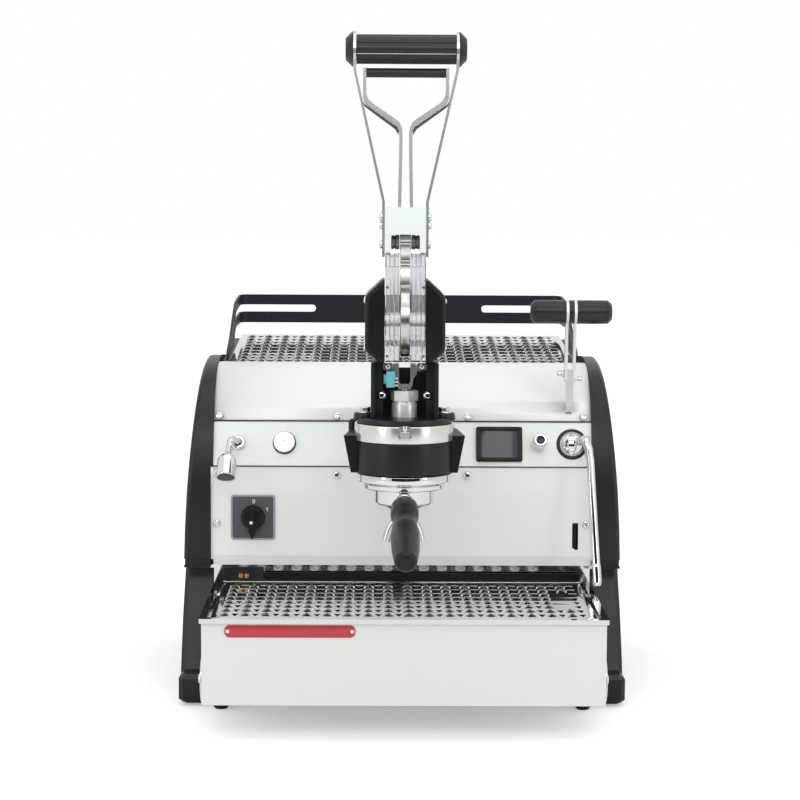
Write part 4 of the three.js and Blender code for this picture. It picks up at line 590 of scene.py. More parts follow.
# plinths under the skins, caps over the deck's ends, and the lower panel's folded edges
PLINTH_INSET, CAP_LOW, CAP_PAST, EDGE_PAST, PANEL_REAR = 1.2, 1.6, 0.6, 0.7, 236
deck_low, deck_high = low_high("deck_plate")
frame_low, frame_high = low_high("right_body_side")
for side, way in SIDES:
    inner, outer = way * (HALF_OPENING + REBATE["across"]), deck_high.x + CAP_PAST
    for name, low, high, inset in (("plinth", deck_high.z, FRAME_FOOT, PLINTH_INSET),
                                   ("deck_cap", deck_low.z + CAP_LOW, deck_high.z, 0)):
        plan = corners(inner, way * (outer - inset), frame_low.y + inset, frame_high.y - inset)
        swept(f"{side}_{name}", plan, low, high, PLAN, black_coat, bevel=0.4)
    slab(f"{side}_panel_edge", rounded(1.9, 56.4, 1.6, (way * (HALF_OPENING + EDGE_PAST), 223.6)), 232.4,
         PANEL_REAR, panel_steel, bevel=0.4)
slab("drain_slot_liner", rounded(2.5, 15.8, 2.4, (208.6, 197.4)), 232.2, PANEL_REAR, black_plastic,
     bevel=0.3)

# Hood: a bent sheet with a notch for the group's neck and a slot for the steam lever

HOOD_START, HOOD_END = Vector((252.5, 334.7)), Vector((338, 399.9))
HOOD_TURN, HOOD_STEPS, HOOD_THICK = math.radians(72 - 5), 56, 1.4
HALF = 229.3
NECK_HALF, NECK_TOP = 37, 350
STEAM_SLOT = (198.2, 205.6, 344, 358)


def hood():
    chord = HOOD_END - HOOD_START
    radius = chord.length / (2 * math.sin(HOOD_TURN / 2))
    first = math.atan2(chord.y, chord.x) + HOOD_TURN / 2
    centre = HOOD_START + Vector((math.sin(first), -math.cos(first))) * radius
    slopes = [first - HOOD_TURN * k / HOOD_STEPS for k in range(HOOD_STEPS + 1)]
    rows = [(centre.x - radius * math.sin(s), centre.y + radius * math.cos(s)) for s in slopes]
    x0, x1, z0, z1 = STEAM_SLOT
    columns = [-HALF, -NECK_HALF, NECK_HALF, x0, x1, HALF]
    n, faces = len(columns), []
    for r in range(HOOD_STEPS):
        z = (rows[r][1] + rows[r + 1][1]) / 2
        for c, x in enumerate(columns[:-1]):
            if not (x == -NECK_HALF and z < NECK_TOP or x == x0 and z0 < z < z1):
                faces.append((r * n + c, r * n + c + 1, (r + 1) * n + c + 1, (r + 1) * n + c))
    skin = piece("hood", [at(x, y, z) for y, z in rows for x in columns], faces, panel_steel, "upper_panel",
                 sharp=60)
    middle = skin.data.polygons[len(skin.data.polygons) // 2]
    thicken(skin, HOOD_THICK, 1 if middle.normal.z < 0 else -1)


hood()

# painted shade: dark strips that stand for the shadow gaps above and below the control band, open behind the
# group's neck
for name, y, z in (("sill_shade_gap", 234.6, 280.9), ("hood_shade_gap", 251.6, 334.3)):
    for side, way in SIDES:
        slab(f"{name}_{side}", rounded((HALF - NECK_HALF) / 2, 0.65, 0.3, (way * (HALF + NECK_HALF) / 2, z)),
             y - 0.8, y + 0.8, gap_shade, bevel=0)

# screws on the hood, the sill and the panels' ends
HOOD_LEAN, SILL_LEAN = (0, -0.93, 0.36), (0, -1, 0.05)
SIDE_SCREWS = [(-224.6, 234, 272), (-224.6, 232.3, 211.2), (222.6, 232.3, 211.2)]
for number, x in enumerate((-223, 220, -79.3, 78.4)):
    dome_screw(f"hood_screw_{number}", at(x, 253.9, 339.8), HOOD_LEAN, 4.9)
for number, x in enumerate((-79.8, 78.4)):
    dome_screw(f"sill_screw_{number}", at(x, 233.7, 270.4), SILL_LEAN, 4.9)
for number, place in enumerate(SIDE_SCREWS):
    dome_screw(f"side_screw_{number}", at(*place), FORWARD, 4.6)

# red plate, left bare, with two rivets
PLATE_X, PLATE_Z, PLATE_HALF, PLATE_HALF_Z = -126.7, 125.7, 72.5, 6.9
RIVET_INSET = 3.4
RIVET = eased([(0, 2.0), (1.6, 1.7), (2.2, 1.0), (2.2, 0)], 0.3)
panel_front = low_high("front_base_panel")[0].y
flat_slab("name_plate", [rounded(PLATE_HALF, PLATE_HALF_Z, 5.6, (PLATE_X, PLATE_Z))], 0.1, 1.2,
          frame_at(at(0, panel_front, 0), X_AXIS, Z_AXIS), red_enamel)
for number, way in enumerate((-1, 1)):
    rivet = at(PLATE_X + way * (PLATE_HALF - RIVET_INSET), panel_front, PLATE_Z)
    turned(f"plate_rivet_{number}", RIVET, rivet, FORWARD, pale_mark, sides=20)

# polished discs with their bolts at the front corners
DISC_X, DISC_Y, DISC_Z, DISC_THICK = 225.2, 32, 66, 1.8
DISC = eased([(0, DISC_THICK), (26, DISC_THICK), (27.4, 1.1), (27.4, 0), (0, 0)], 0.5)
for side, way in SIDES:
    turned(f"{side}_corner_disc", DISC, at(way * DISC_X, DISC_Y, DISC_Z), (way, 0, 0), tray_steel)
    dome_screw(f"{side}_corner_bolt", at(way * (DISC_X + DISC_THICK), DISC_Y, DISC_Z), (way, 0, 0), 6, chrome)

# black bar and grey box in front of the polished splash wall, with brass fittings in the box
BAR_FRONT, BOX_FRONT, BAR_REAR = 238.5, 235, 241.5
FITTING = eased([(0, 0), (3.6, 0), (3.6, 5), (2.6, 5), (2.6, 9), (0, 9)], 0.4)
slab("splash_bar", rounded(191, 4.8, 0.8, (24, 145)), BAR_FRONT, BAR_REAR, black_plastic, bevel=0.3)
slab("drain_box", rounded(24.5, 8.4, 2, (-192.5, 148.6)), BOX_FRONT, BAR_REAR, smoke_plastic, bevel=0.6)
for number, x in enumerate((-196, -189)):
    turned(f"drain_fitting_{number}", FITTING, at(x, 237.6, 144), Z_AXIS, brass, sides=20)

# Perforated plates

PITCH, ROW_PITCH = 11.5, 25
HOLE_BASE, HOLE_DEPTH = 9.6, 16.5
LIP_PAST, LIP_IN, LIP_BACK = 1.3, 0.6, 3  # a lip's reach beside its hole, its inner edge and its way back
PLATE_MARGIN_X, PLATE_MARGIN_Y = 6, 4
SHEET_THICK, FOLD_THICK, PLATE_CORNER = 1.5, 1.4, 2.5


def perforated(name, node, half, length, matrix, top, skirt, leave_out=lambda x, y: False):
    """A plate with rows of triangles that point back and forward in turn, lips and folded edges."""
    columns = int((half - PLATE_MARGIN_X) * 2 / PITCH)
    rows = int((length - 2 * PLATE_MARGIN_Y) / ROW_PITCH)
    first_y = (length - rows * ROW_PITCH) / 2
    border = rounded(half, length / 2, PLATE_CORNER, (0, length / 2))
    fold = rounded(half - FOLD_THICK, length / 2 - FOLD_THICK, FOLD_THICK, (0, length / 2))
    holes, lips = [], []
    for i in range(columns):
        for j in range(rows):
            x, y = (i - (columns - 1) / 2) * PITCH, first_y + (j + 0.5) * ROW_PITCH
            if leave_out(x, y):
                continue
            way = -1 if i % 2 else 1
            w, d = HOLE_BASE / 2, HOLE_DEPTH / 2
            holes.append([(x - way * w, y - way * d), (x + way * w, y - way * d), (x, y + way * d)])
            if way > 0:
                foot = y - d + LIP_BACK
                lips.append([(x - w - LIP_PAST, foot), (x, y + d + 3.4), (x + w + LIP_PAST, foot),
                             (x + w - LIP_IN, foot), (x, y + d + 0.4), (x - w + LIP_IN, foot)])
    plate = flat_slab(name, [border, *holes], top - SHEET_THICK, top, matrix, tray_steel, bevel=0.25)
    edge = flat_slab(name + "_edge", [border, fold], skirt, top - 0.8, matrix, tray_steel, bevel=0.1)
    ridges = flat_slab(name + "_lips", lips, top - 0.2, top + 1.3, matrix, tray_steel)
    both = joined(name, [plate, edge, ridges])
    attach(both, nodes[node]["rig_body"])
    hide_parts(node)


grate_low, grate_high = low_high("drip_grate")
perforated("drip_grate_plate", "drip_grate", grate_high.x, grate_high.y - grate_low.y,
           frame_at(at(0, grate_low.y, 0), X_AXIS, Y_AXIS), grate_high.z, grate_low.z,
           lambda x, y: 168 < x < 196 and 60 < y < 150)
RISE = math.radians(5)  # the shelf's slope, up towards the rear
SHELF_FRONT, SHELF_LENGTH, SHELF_HIGH = 344, 244, 6
WELL_FRONT, WELL_CROWN, WELL_DROP, SLIP = 338, 399, 9, 0.3
shelf_base = WELL_CROWN - WELL_DROP + (SHELF_FRONT - WELL_FRONT) * math.tan(RISE) + SLIP
perforated("cup_shelf_plate", "cup_tray", low_high("cup_tray")[1].x, SHELF_LENGTH / math.cos(RISE),
           frame_at(at(0, SHELF_FRONT, shelf_base), X_AXIS, (0, math.cos(RISE), math.sin(RISE))),
           SHELF_HIGH, 0)

# Cup rail: a black band on two feet, with a long slot on either side that runs round the rear corner

RAIL_HALF, RAIL_FRONT, RAIL_REAR, RAIL_CORNER, RAIL_THICK = 221.5, 350, 600, 14, 3
SLOT_FROM, SLOT_DROP, SLOT_HALF, SLOT_LEFT, SLOT_RIGHT = 432, 18.7, 4.8, -116, 111
RAIL_TOP = [(350, 408), (358, 413.5), (365, 415.5), (404, 427.5), (446, 446), (475, 458.5), (500, 466.5),
            (540, 469.8), (600, 472.5)]
RAIL_LOW = [(350, 399.6), (400, 403.6), (450, 409.5), (457, 414), (466, 421), (482, 429), (500, 433.6),
            (600, 434)]


def between(table, y):
    """A height read off a line of (depth, height)."""
    for (y0, z0), (y1, z1) in zip(table, table[1:]):
        if y <= y1:
            return z0 + (z1 - z0) * max(0, y - y0) / (y1 - y0)
    return table[-1][1]


def slot_half(x, y):
    """Half the height of the slot at a place of the band."""
    if abs(x) < RAIL_HALF - RAIL_CORNER:
        inside, past = abs(x - (SLOT_LEFT if x < 0 else SLOT_RIGHT)), not SLOT_LEFT <= x <= SLOT_RIGHT
    else:
        inside, past = y - SLOT_FROM, y > SLOT_FROM
    gone = max(0, SLOT_HALF - inside)
    return math.sqrt(SLOT_HALF ** 2 - gone ** 2) if past else 0.0


def cup_rail():
    half, rear, corner = [v - RAIL_THICK / 2 for v in (RAIL_HALF, RAIL_REAR, RAIL_CORNER)]
    fine = [0, 0.4, 1, 2, 3.4, 4.8]
    depths = {RAIL_FRONT + k * 8 for k in range(30)} | {SLOT_FROM + f for f in fine}
    depths |= {y for y, z in RAIL_TOP + RAIL_LOW if y < 585}
    path = [(-half, y) for y in sorted(depths) if y < rear - corner]
    path += [(-half + corner - corner * math.cos(a), rear - corner + corner * math.sin(a))
             for a in (math.pi / 2 * k / 8 for k in range(9))]
    turn_end = len(path)
    path += [(SLOT_LEFT - f, rear) for f in reversed(fine)] + [(SLOT_RIGHT + f, rear) for f in fine]
    path += [(-x, y) for x, y in reversed(path[:turn_end])]
    points, faces = [], []
    for x, y in path:
        top, low, open_half = between(RAIL_TOP, y), between(RAIL_LOW, y), slot_half(x, y)
        middle = top - SLOT_DROP
        for z in (low, min(middle - open_half, top), middle + open_half, top):
            points.append(at(x, y, max(low, z)))
    for i, (here, after) in enumerate(zip(path, path[1:])):
        a = i * 4
        faces += [(a, a + 1, a + 5, a + 4), (a + 2, a + 3, a + 7, a + 6)]
        if not slot_half(*here) and not slot_half(*after):
            faces.append((a + 1, a + 2, a + 6, a + 5))
    band = piece("cup_rail_band", points, faces, black_sheet, "cup_rail", sharp=40, gap=1e-5, sliver=1e-6)
    thicken(band, RAIL_THICK, 0)
    soften(band, 0.5)


cup_rail()

# Group: head with its neck, band with ears, and bell

GROUP_Y = 100
HEAD_LOW, HEAD_TOP, COLLAR = 329.6, 349.2, 57
NOTCH_HALF, NOTCH_LOW, NOTCH_DEEP = 7, 337, 51
NECK = rounded(36, 24.4, 3, (0, 324.5))
NECK_FRONT, NECK_REAR = 157, 276
EAR_FRONT = [(49, 293), (61, 293), (69.4, 335.6), (49, 335.6)]
EAR_REAR = [(49, 293), (58, 293), (60.5, 341), (49, 341)]
EAR_HALF = 17
LEG_IN, STOP_IN, STOP_Z, STOP_FRONT, STOP_REAR = 24.4, 14, 414.6, 75, 84
STOP_PIN = eased([(0, 0), (3.4, 0), (3.4, 2.2), (2.2, 3.4), (0, 3.6)], 0.5)
BAND = [(38.3, 293), (55.4, 293), (56.8, 294.4), (56.8, 328.2), (56, 329.3), (38.3, 329.3)]
BELL = [(38.4, 284.6), (38.2, 274), (45.6, 274), (47, 275.2), (47, 279.6), (48.4, 281), (53.8, 282.4),
        (54.6, 283.4), (54.6, 291.4), (54, 291.9), (38.4, 291.9)]
PIN = [(0, 351.6), (3.6, 351.6), (3.6, 345), (2.4, 344.4), (2.4, 342), (0, 342)]
POST = [(0, 351), (3, 350.6), (5.6, 348), (5.6, 330), (0, 330)]


def on_group(z, x=0, y=GROUP_Y):
    return at(x, y, z)


rim = eased([(COLLAR - 1, HEAD_LOW), (COLLAR, HEAD_LOW + 0.6), (COLLAR, HEAD_TOP - 0.8),
             (COLLAR - 1, HEAD_TOP)], 0.3)
collar = turned("group_collar", [(0, HEAD_LOW), *rim, (0, HEAD_TOP)], on_group(0), Z_AXIS, turned_steel,
                "group_head", FINE)
carve(collar, corners(-NOTCH_HALF, NOTCH_HALF, NOTCH_LOW, HEAD_TOP + 2), -NOTCH_DEEP, -40, FRONT)
loft("group_neck", [[at(x, y, z) for x, z in NECK] for y in (NECK_FRONT, NECK_REAR)], turned_steel,
     "group_head", bevel=0.6)
slab("notch_block", rounded(5.2, 3.2, 0.8, (0.2, 340.3)), 45.4, 50.6, turned_steel)
turned("notch_pin", eased(PIN, 0.3), on_group(0, 0.2, 48.6), Z_AXIS, turned_steel, sides=24)
turned("group_band_ring", eased(BAND, 0.5), on_group(0), Z_AXIS, band_black, "group_band", FINE)
for side, way in SIDES:
    loft(f"{side}_ear", [[on_group(z, way * x, GROUP_Y + y) for x, z in outline]
                         for y, outline in ((-EAR_HALF, EAR_FRONT), (EAR_HALF, EAR_REAR))],
         black_plastic, "group_band", bevel=0.9)

# small stops between the bracket's legs, under the clear covers
for side, way in SIDES:
    slab(f"{side}_stop", rounded((LEG_IN - STOP_IN) / 2, 3.9, 1.5, (way * (LEG_IN + STOP_IN) / 2, STOP_Z)),
         STOP_FRONT, STOP_REAR, dark_steel_and_shade, bevel=0.6)
    turned(f"{side}_stop_pin", STOP_PIN, at(way * 19, STOP_FRONT + 0.4, STOP_Z), FORWARD, rod_steel, sides=32)
turned("left_post", eased(POST, 1.2), at(-58.5, 122, 0), Z_AXIS, black_plastic, sides=32)
turned("bell_ring", eased(BELL, 0.4), on_group(0), Z_AXIS, chrome, "group_bell", FINE)

# spring cylinder with its hexagon nut, and the bracket with its bolts and sensor marks
FOOT_LOW, FOOT_TOP, LEG_TOP = 349.9, 355.8, 418.6
SLEEVE = [(0, 350), (14.5, 350), (14.5, 371), (13.6, 371.6), (13.6, 373.9), (0, 373.9)]
FOOT = [(0, FOOT_LOW), (54.4, FOOT_LOW), (55, 350.6), (55, 355), (54, FOOT_TOP), (0, FOOT_TOP)]
LEG_OUT = 38.4
LEG = [(LEG_IN, -10), (34, -10), (34, -28), (LEG_OUT, -28), (LEG_OUT, 28), (LEG_IN, 28)]
BOLT_X, BOLT_Y, PAD_Z, WASHER_Z = 45, 94, 352.8, 361.2
WASHER = eased([(0, 1.2), (8.6, 1.2), (9.2, 0.6), (9.2, 0), (0, 0)], 0.2)
PAD = eased([(0, 8.4), (11.4, 8.4), (12.4, 7.4), (13.4, 0), (0, 0)], 0.8)
turned("cylinder_sleeve", eased(SLEEVE, 0.4), on_group(0), Z_AXIS, sleeve_steel, "spring_cylinder", 96)
swept("cylinder_nut", hexagon(16.4, math.pi / 6), 374, 386.2,
      Matrix.Translation(on_group(0)) @ Matrix.Rotation(0.25, 4, "Z"), sleeve_steel, "spring_cylinder", 0.7)
turned("bracket_foot", eased(FOOT, 0.4), on_group(0), Z_AXIS, black_coat, "lever_bracket", FINE)
for side, way in SIDES:
    swept(f"{side}_bracket_leg", LEG if way > 0 else mirrored(LEG), FOOT_TOP - 0.4, LEG_TOP,
          Matrix.Translation(on_group(0)), black_coat, "lever_bracket", 0.8)
    dome_screw(f"{side}_bracket_screw", on_group(381, way * 26.2, 89.8), FORWARD, 5.2, chrome, height=4.6)
    bolt = on_group(WASHER_Z, way * BOLT_X, BOLT_Y)
    turned(f"{side}_foot_washer", WASHER, bolt, Z_AXIS, screw_steel, sides=32)
    swept(f"{side}_foot_bolt", hexagon(6.6), 1.2, 6.2, Matrix.Translation(bolt), screw_steel, bevel=0.8)
    turned(f"{side}_foot_pad", PAD, on_group(PAD_Z, way * BOLT_X, BOLT_Y), Z_AXIS, black_coat, sides=48)
slab("bracket_web", rounded(25, 27, 1, (0, 383)), 121, 127.5, black_sheet, "lever_bracket", 0.4)
for number in range(3):
    slab(f"sensor_mark_{number}", rounded(1.6, 0.6, 0.3, (-9.4, 393.5 + 4 * number)), 74, 78, pale_mark,
         bevel=0.1)

# Side covers: thick black cheeks with a rounded front, rear and rim

CHEEK = dict(inner=23.2, outer=45.3, low=419.1, high=512.9, top_x=19.5, top_z=18, low_x=17.5, low_z=14)
CHEEK_HALF, CHEEK_EDGE, EDGE_STEPS = 39.9, 5, 6
CORNER_SHARE = 0.45  # how far a sloping corner follows the rim inwards
CHEEK_SCREWS = [(72, 489), (128, 489), (72, 436), (128, 436)]


def cheek_outline(i, inner, outer, low, high, top_x, top_z, low_x, low_z):
    """The cheek's outline across and up, with its rim i further in."""
    k = CORNER_SHARE * i
    return eased([(inner, low + i), (outer - low_x - k, low + i), (outer - i, low + low_z + k),
                  (outer - i, high - top_z - k), (outer - top_x - k, high - i), (inner, high - i)], 5, 4)


def side_cover(side, way):
    turns = [math.pi / 2 * k / EDGE_STEPS for k in range(EDGE_STEPS + 1)]
    ends = [(-CHEEK_HALF + CHEEK_EDGE * (1 - math.cos(a)), CHEEK_EDGE * (1 - math.sin(a))) for a in turns]
    rings = [[on_group(z, way * x, GROUP_Y + y) for x, z in cheek_outline(inset, **CHEEK)]
             for y, inset in [*ends, *[(-y, inset) for y, inset in reversed(ends)]]]
    loft(f"{side}_cheek", rings, black_plastic, f"{side}_side_cover", sharp=50)
    for number, (y, z) in enumerate(CHEEK_SCREWS):
        dome_screw(f"{side}_cheek_screw_{number}", on_group(z, way * 45.2, y), (way, 0, 0), 2.6)


# Clear covers: ribbed shells round the cam wheel

PIVOT_Z = 466.5
COVER_LOW, COVER_SIDE, COVER_REACH, COVER_THICK, COVER_STEPS = 423.2, 43.9, 76.4, 1.6, 24
RIBS = [(6.8, 0), (8.2, 0), (8.5, 1.4), (11.2, 1.4), (11.5, 0.2), (13.0, 0.2), (13.3, 1.4), (16.6, 1.4),
        (17.2, 0), (21.6, 0), (22.7, 1.0)]  # places across, each with its way in


def cover_ring(x, inset):
    front, reach = COVER_SIDE - inset, COVER_REACH - inset
    turn = math.acos(front / reach)
    arc = [turn + (math.pi - 2 * turn) * k / COVER_STEPS for k in range(COVER_STEPS + 1)]
    waist = (COVER_LOW + PIVOT_Z) / 2
    line = [(-front, COVER_LOW), (-front, waist)]
    line += [(-reach * math.cos(a), PIVOT_Z + reach * math.sin(a)) for a in arc]
    line += [(front, waist), (front, COVER_LOW)]
    return [on_group(z, x, GROUP_Y + y) for y, z in line]


def clear_cover(side, way):
    rows = [cover_ring(way * x, inset) for x, inset in RIBS]
    n, points = len(rows[0]), [p for row in rows for p in row]
    faces = strips(len(rows), n, closed=False) + [tuple(range(len(points) - n, len(points)))]
    shell = piece(f"{side}_clear_shell", points, faces, clear_plastic, f"{side}_clear_cover", sharp=30)
    thicken(shell, COVER_THICK, -1)
    for number, z in enumerate((428, 505)):
        turned(f"{side}_cover_screw_{number}", rod(1.7, 0, 3, 0.3), on_group(z, way * 20.2, 58.5), FORWARD,
               brass, sides=16)


for side, way in SIDES:
    side_cover(side, way)
    clear_cover(side, way)

# Piston: rod with its collar, wishbone fork and pins

FORK_LOW, FORK_HALF_DEPTH, PIN_Z = 387.4, 8, 411
FORK_SIDE = [(5.6, FORK_LOW), (8.6, 391), (10, 400), (13.4, 404.6), (14.4, PIN_Z), (12.6, 416.4),
             (6.4, 417), (6.4, 396.6), (4.4, 393.4)]
FORK = [mirrored(FORK_SIDE)[0], *FORK_SIDE, *reversed(mirrored(FORK_SIDE)[1:])]
FORK_PIN = [(0, 12), (5, 12), (5, 15), (4.2, 15.4), (4.2, 16), (5, 16.4), (5, 18.8), (4.4, 19.4),
            (2.2, 19.4), (2, 18.6), (0, 18.6)]
ROD_COLLAR = [(0, FORK_LOW), (6.6, FORK_LOW), (6.6, 391.5), (5.4, 392.4), (0, 392.4)]
STEM = [(0, 296.2), (28.4, 296.2), (28.4, 309), (4.6, 309), (4.6, 387.6), (0, 387.6)]
slab("piston_fork", softened(FORK, 0.9), GROUP_Y - FORK_HALF_DEPTH, GROUP_Y + FORK_HALF_DEPTH, rod_steel,
     "piston_rod", 1.2)
turned("rod_collar", eased(ROD_COLLAR, 0.4), on_group(0), Z_AXIS, rod_steel, "piston_rod")
turned("piston_stem", eased(STEM, 0.4), on_group(0), Z_AXIS, rod_steel, "piston_rod")
for side, way in SIDES:
    turned(f"{side}_fork_pin", eased(FORK_PIN, 0.25), on_group(PIN_Z), (way, 0, 0), rod_steel, "piston_rod",
           40)

# Lever: cam wheel with its stepped shank, and the roller in the yoke's notch

WHEEL, WHEEL_HALF, SHANK_HALF, ROLLER_Z = 42.5, 5.6, 5.8, 554.6
SHANK = [(-20, 466), (-20, 500.5), (-15, 506), (-14.6, 520), (-13.2, 523), (-13, 530), (-9.8, 533.5),
         (-9.6, 541.5), (-8.2, 546), (-8.2, ROLLER_Z)]
ROLLER = [(0, 6.9), (7.8, 6.9), (8.3, 7.6), (8.3, 11), (7.2, 11.8), (7.2, 12.6), (8.0, 13.2), (8.0, 15.2),
          (7, 16), (0, 16)]
tread = eased([(WHEEL - 0.7, -WHEEL_HALF), (WHEEL, -5), (WHEEL, 5), (WHEEL - 0.7, WHEEL_HALF)], 0.3)
turned("cam_disc", [(0, -WHEEL_HALF), *tread, (0, WHEEL_HALF)], on_group(PIVOT_Z), X_AXIS, rod_steel,
       "cam_wheel", FINE)
swept("cam_shank", SHANK + mirrored(SHANK)[::-1], -SHANK_HALF, SHANK_HALF,
      frame_at(on_group(0), Y_AXIS, Z_AXIS), rod_steel, "cam_wheel", 0.7)
turned("roller_hub", rod(8.6, -6.4, 6.4, 0.8), on_group(ROLLER_Z), X_AXIS, rod_steel, "cam_wheel")
for side, way in SIDES:
    turned(f"{side}_roller", eased(ROLLER, 0.35), on_group(ROLLER_Z), (way, 0, 0), dark_steel_and_shade, "cam_wheel")
    for number, (z, radius) in enumerate(((583, 5.2), (573.5, 4.2), (552, 4.8))):
        dome_screw(f"{side}_arm_screw_{number}", on_group(z, way * 26.2, 96), (way, 0, 0), radius,
                   owner="lever", height=3.4)

# grip: a ribbed bar with a bright line in its front groove, and two cone-shaped caps
GRIP_Z, GRIP, GROOVE, GRIP_RIBS, GRIP_HALF = 771, 16.6, 1.5, 8, 56
CAP = [(6, 59.8), (19.6, 59.8), (20, 60.4), (12.4, 68.2), (0, 68.4)]
SEAM_AWAY, SEAM_HALF, SEAM = 15.7, 55.6, 0.5


def ribbed(radius, groove, ribs, steps=12):
    """A round outline with rounded ribs and sharp grooves; one rib faces the front."""
    out = []
    for k in range(ribs * steps):
        share = (k % steps) / steps * 2 - 1
        a = math.pi + math.pi / ribs * share + 2 * math.pi / ribs * (k // steps)
        r = radius - groove * (1 - math.sqrt(1 - share * share))
        out.append((r * math.cos(a), r * math.sin(a)))
    return out


grip = on_group(GRIP_Z)
swept("lever_grip_bar", ribbed(GRIP, GROOVE, GRIP_RIBS), -GRIP_HALF, GRIP_HALF,
      frame_at(grip, Y_AXIS, Z_AXIS), grip_black, "lever_grip", 0.25)
# painted shade: the dark core shows only in the grooves between the bar and the caps
turned("grip_core", rod(8, -59.6, 59.6), grip, X_AXIS, gap_shade, "lever_grip", 48)
turn = math.pi + math.pi / GRIP_RIBS
seam = Vector((0, math.cos(turn), math.sin(turn))) * SEAM_AWAY
tube("grip_seam", [grip + (seam + X_AXIS * x) * MM for x in (-SEAM_HALF, SEAM_HALF)], SEAM, arm_steel,
     "lever", 12)
cap_profile = [(0, CAP[0][1]), *eased(CAP, 0.7)]
for side, way in SIDES:
    turned(f"{side}_grip_cap", cap_profile, grip, (way, 0, 0), grip_black, "lever_grip", 96)

# trigger: two bent strips, a dark strip below their slanted part that is painted shade of their underside,
# and a bar
TRIGGER_Z, TRIGGER, STRIP_HALF = 744.7, 5.3, 5
BEND_OUT = [(9.2, 571.4), (7.5, 660), (7.5, 683.2), (48.3, 711.4), (48.5, TRIGGER_Z + 5.4)]
BEND_IN = [(45, TRIGGER_Z + 5.4), (44.6, 715.4), (3.9, 688), (3.6, 660), (5.2, 571.4)]
UNDERSIDE_SHADE = [(8, 681.5), (10, 684.4), (46.6, 709.8), (48.2, 713), (48, 709), (45.6, 706), (12, 681.6), (8, 675)]
BEND = eased(BEND_OUT, 7, 6) + eased(BEND_IN, 9, 6)
for side, way in SIDES:
    strip, under = (BEND, UNDERSIDE_SHADE) if way > 0 else (mirrored(BEND), mirrored(UNDERSIDE_SHADE))
    slab(f"{side}_trigger_strip", strip, GROUP_Y - STRIP_HALF, GROUP_Y + STRIP_HALF, trigger_steel,
         "lever_trigger")
    # painted shade: a dark strip that stands for the shaded underside of the slanted part
    slab(f"{side}_trigger_underside_shade", under, GROUP_Y - 1, GROUP_Y + STRIP_HALF, dark_steel_and_shade, "trigger", 0.3)
turned("trigger_bar", rod(TRIGGER, -44.9, 44.9, 0.6), on_group(TRIGGER_Z), X_AXIS, grip_black,
       "lever_trigger", 48)

# Portafilter

HANDLE_SLOPE = math.radians(15.6)
ALONG = Vector((0, -math.cos(HANDLE_SLOPE), -math.sin(HANDLE_SLOPE)))
BOSS = at(0, 63.5, 265.6)  # where the handle's boss leaves the filter holder
HOLDER = [(0, 246), (9, 246), (12, 246.8), (33, 256.2), (34.3, 258), (34.3, 273.4), (36.9, 274.2),
          (36.9, 283.6), (0, 283.6)]
HANDLE = [(0, 8.4), (9, 8.4), (9, 19), (11, 21), (15, 25.5), (15.8, 33), (15.6, 48), (12.8, 58), (12.3, 66),
          (12.6, 76), (14, 77.4), (15.3, 90), (15.9, 112), (15, 138), (13.2, 156), (12.2, 165.6),
          (9.6, 169.4), (6, 170.6), (0, 171)]
SPOUT = [(1, 246), (3, 240), (10, 235), (16.5, 225), (20.3, 212)]
turned("filter_holder", eased(HOLDER, 0.7), on_group(0), Z_AXIS, chrome, "portafilter_body", FINE)
turned("handle_boss", eased([(0, -3), (9, -3), (9, 5), (7.4, 8), (0, 8)], 0.6), BOSS, ALONG, chrome,
       "portafilter_body", 48)
for side, way in SIDES:
    tube(f"{side}_spout", smooth_curve([on_group(z, way * x) for x, z in SPOUT]), 4.8, rod_steel,
         "portafilter_body", 24)
turned("handle_bar", eased(HANDLE, 1.4, 4), BOSS, ALONG, grip_rubber, "portafilter_handle", 96)
turned("handle_ferrule", rod(10.6, 9, 17, 0.5, inner=8), BOSS, ALONG, chrome, "portafilter")

# Console: display, buttons, ball joint and flange

KNOB_ROW, BALL_ROW, BALL_SUNK, BALL = 28.2, 27.6, 3, 16.3
DISPLAY_X, BUTTON_X, MENU_X, BALL_X, FLANGE_X = 117, -143.5, 165.5, 205.5, -199.5
DISPLAY_RIM = rounded(28, 21.4, 2.6)
BUTTON = [(0, 5.6), (1.6, 5.6), (2.2, 6.9), (9, 7), (12.0, 7), (12.9, 6.2), (12.9, -9), (0, -9)]
MENU = [(0, -10), (9.2, -10), (9.2, 6), (8.6, 9), (8.6, 23), (7.4, 25), (5.6, 25)]
MENU_CAP = [(5.6, 25), (5.4, 23.4), (4, 22.6), (0, 22.2)]
FLANGE = [(5.2, 0.4), (8.6, 0.4), (9, 1), (9, 3.6), (7.6, 5), (5.2, 5)]
BALL_TURNS = [math.pi * k / 40 for k in range(41)]


def lying(name, profile, x, up, surface, owner="machine", sides=ROUND):
    """A turned piece on the control band."""
    turned(name, profile, on_console(x, 0, up), OUT, surface, owner, sides)


display_frame = console_frame(DISPLAY_X, 27)
swept("display_frame", DISPLAY_RIM, 0.2, 2.6, display_frame, black_plastic, "display", 0.5)
flat_slab("display_pane", [rounded(24.6, 18, 1.0)], 2.5, 2.8, display_frame, screen_glass, 0.05)
flat_slab("display_wall", [DISPLAY_RIM, rounded(23.4, 16.6, 1.0)], 2.4, 4.4, display_frame, black_plastic,
          0.4)
lying("water_button_disc", eased(BUTTON, 0.25), BUTTON_X, KNOB_ROW, spun_steel, "hot_water_button", 96)
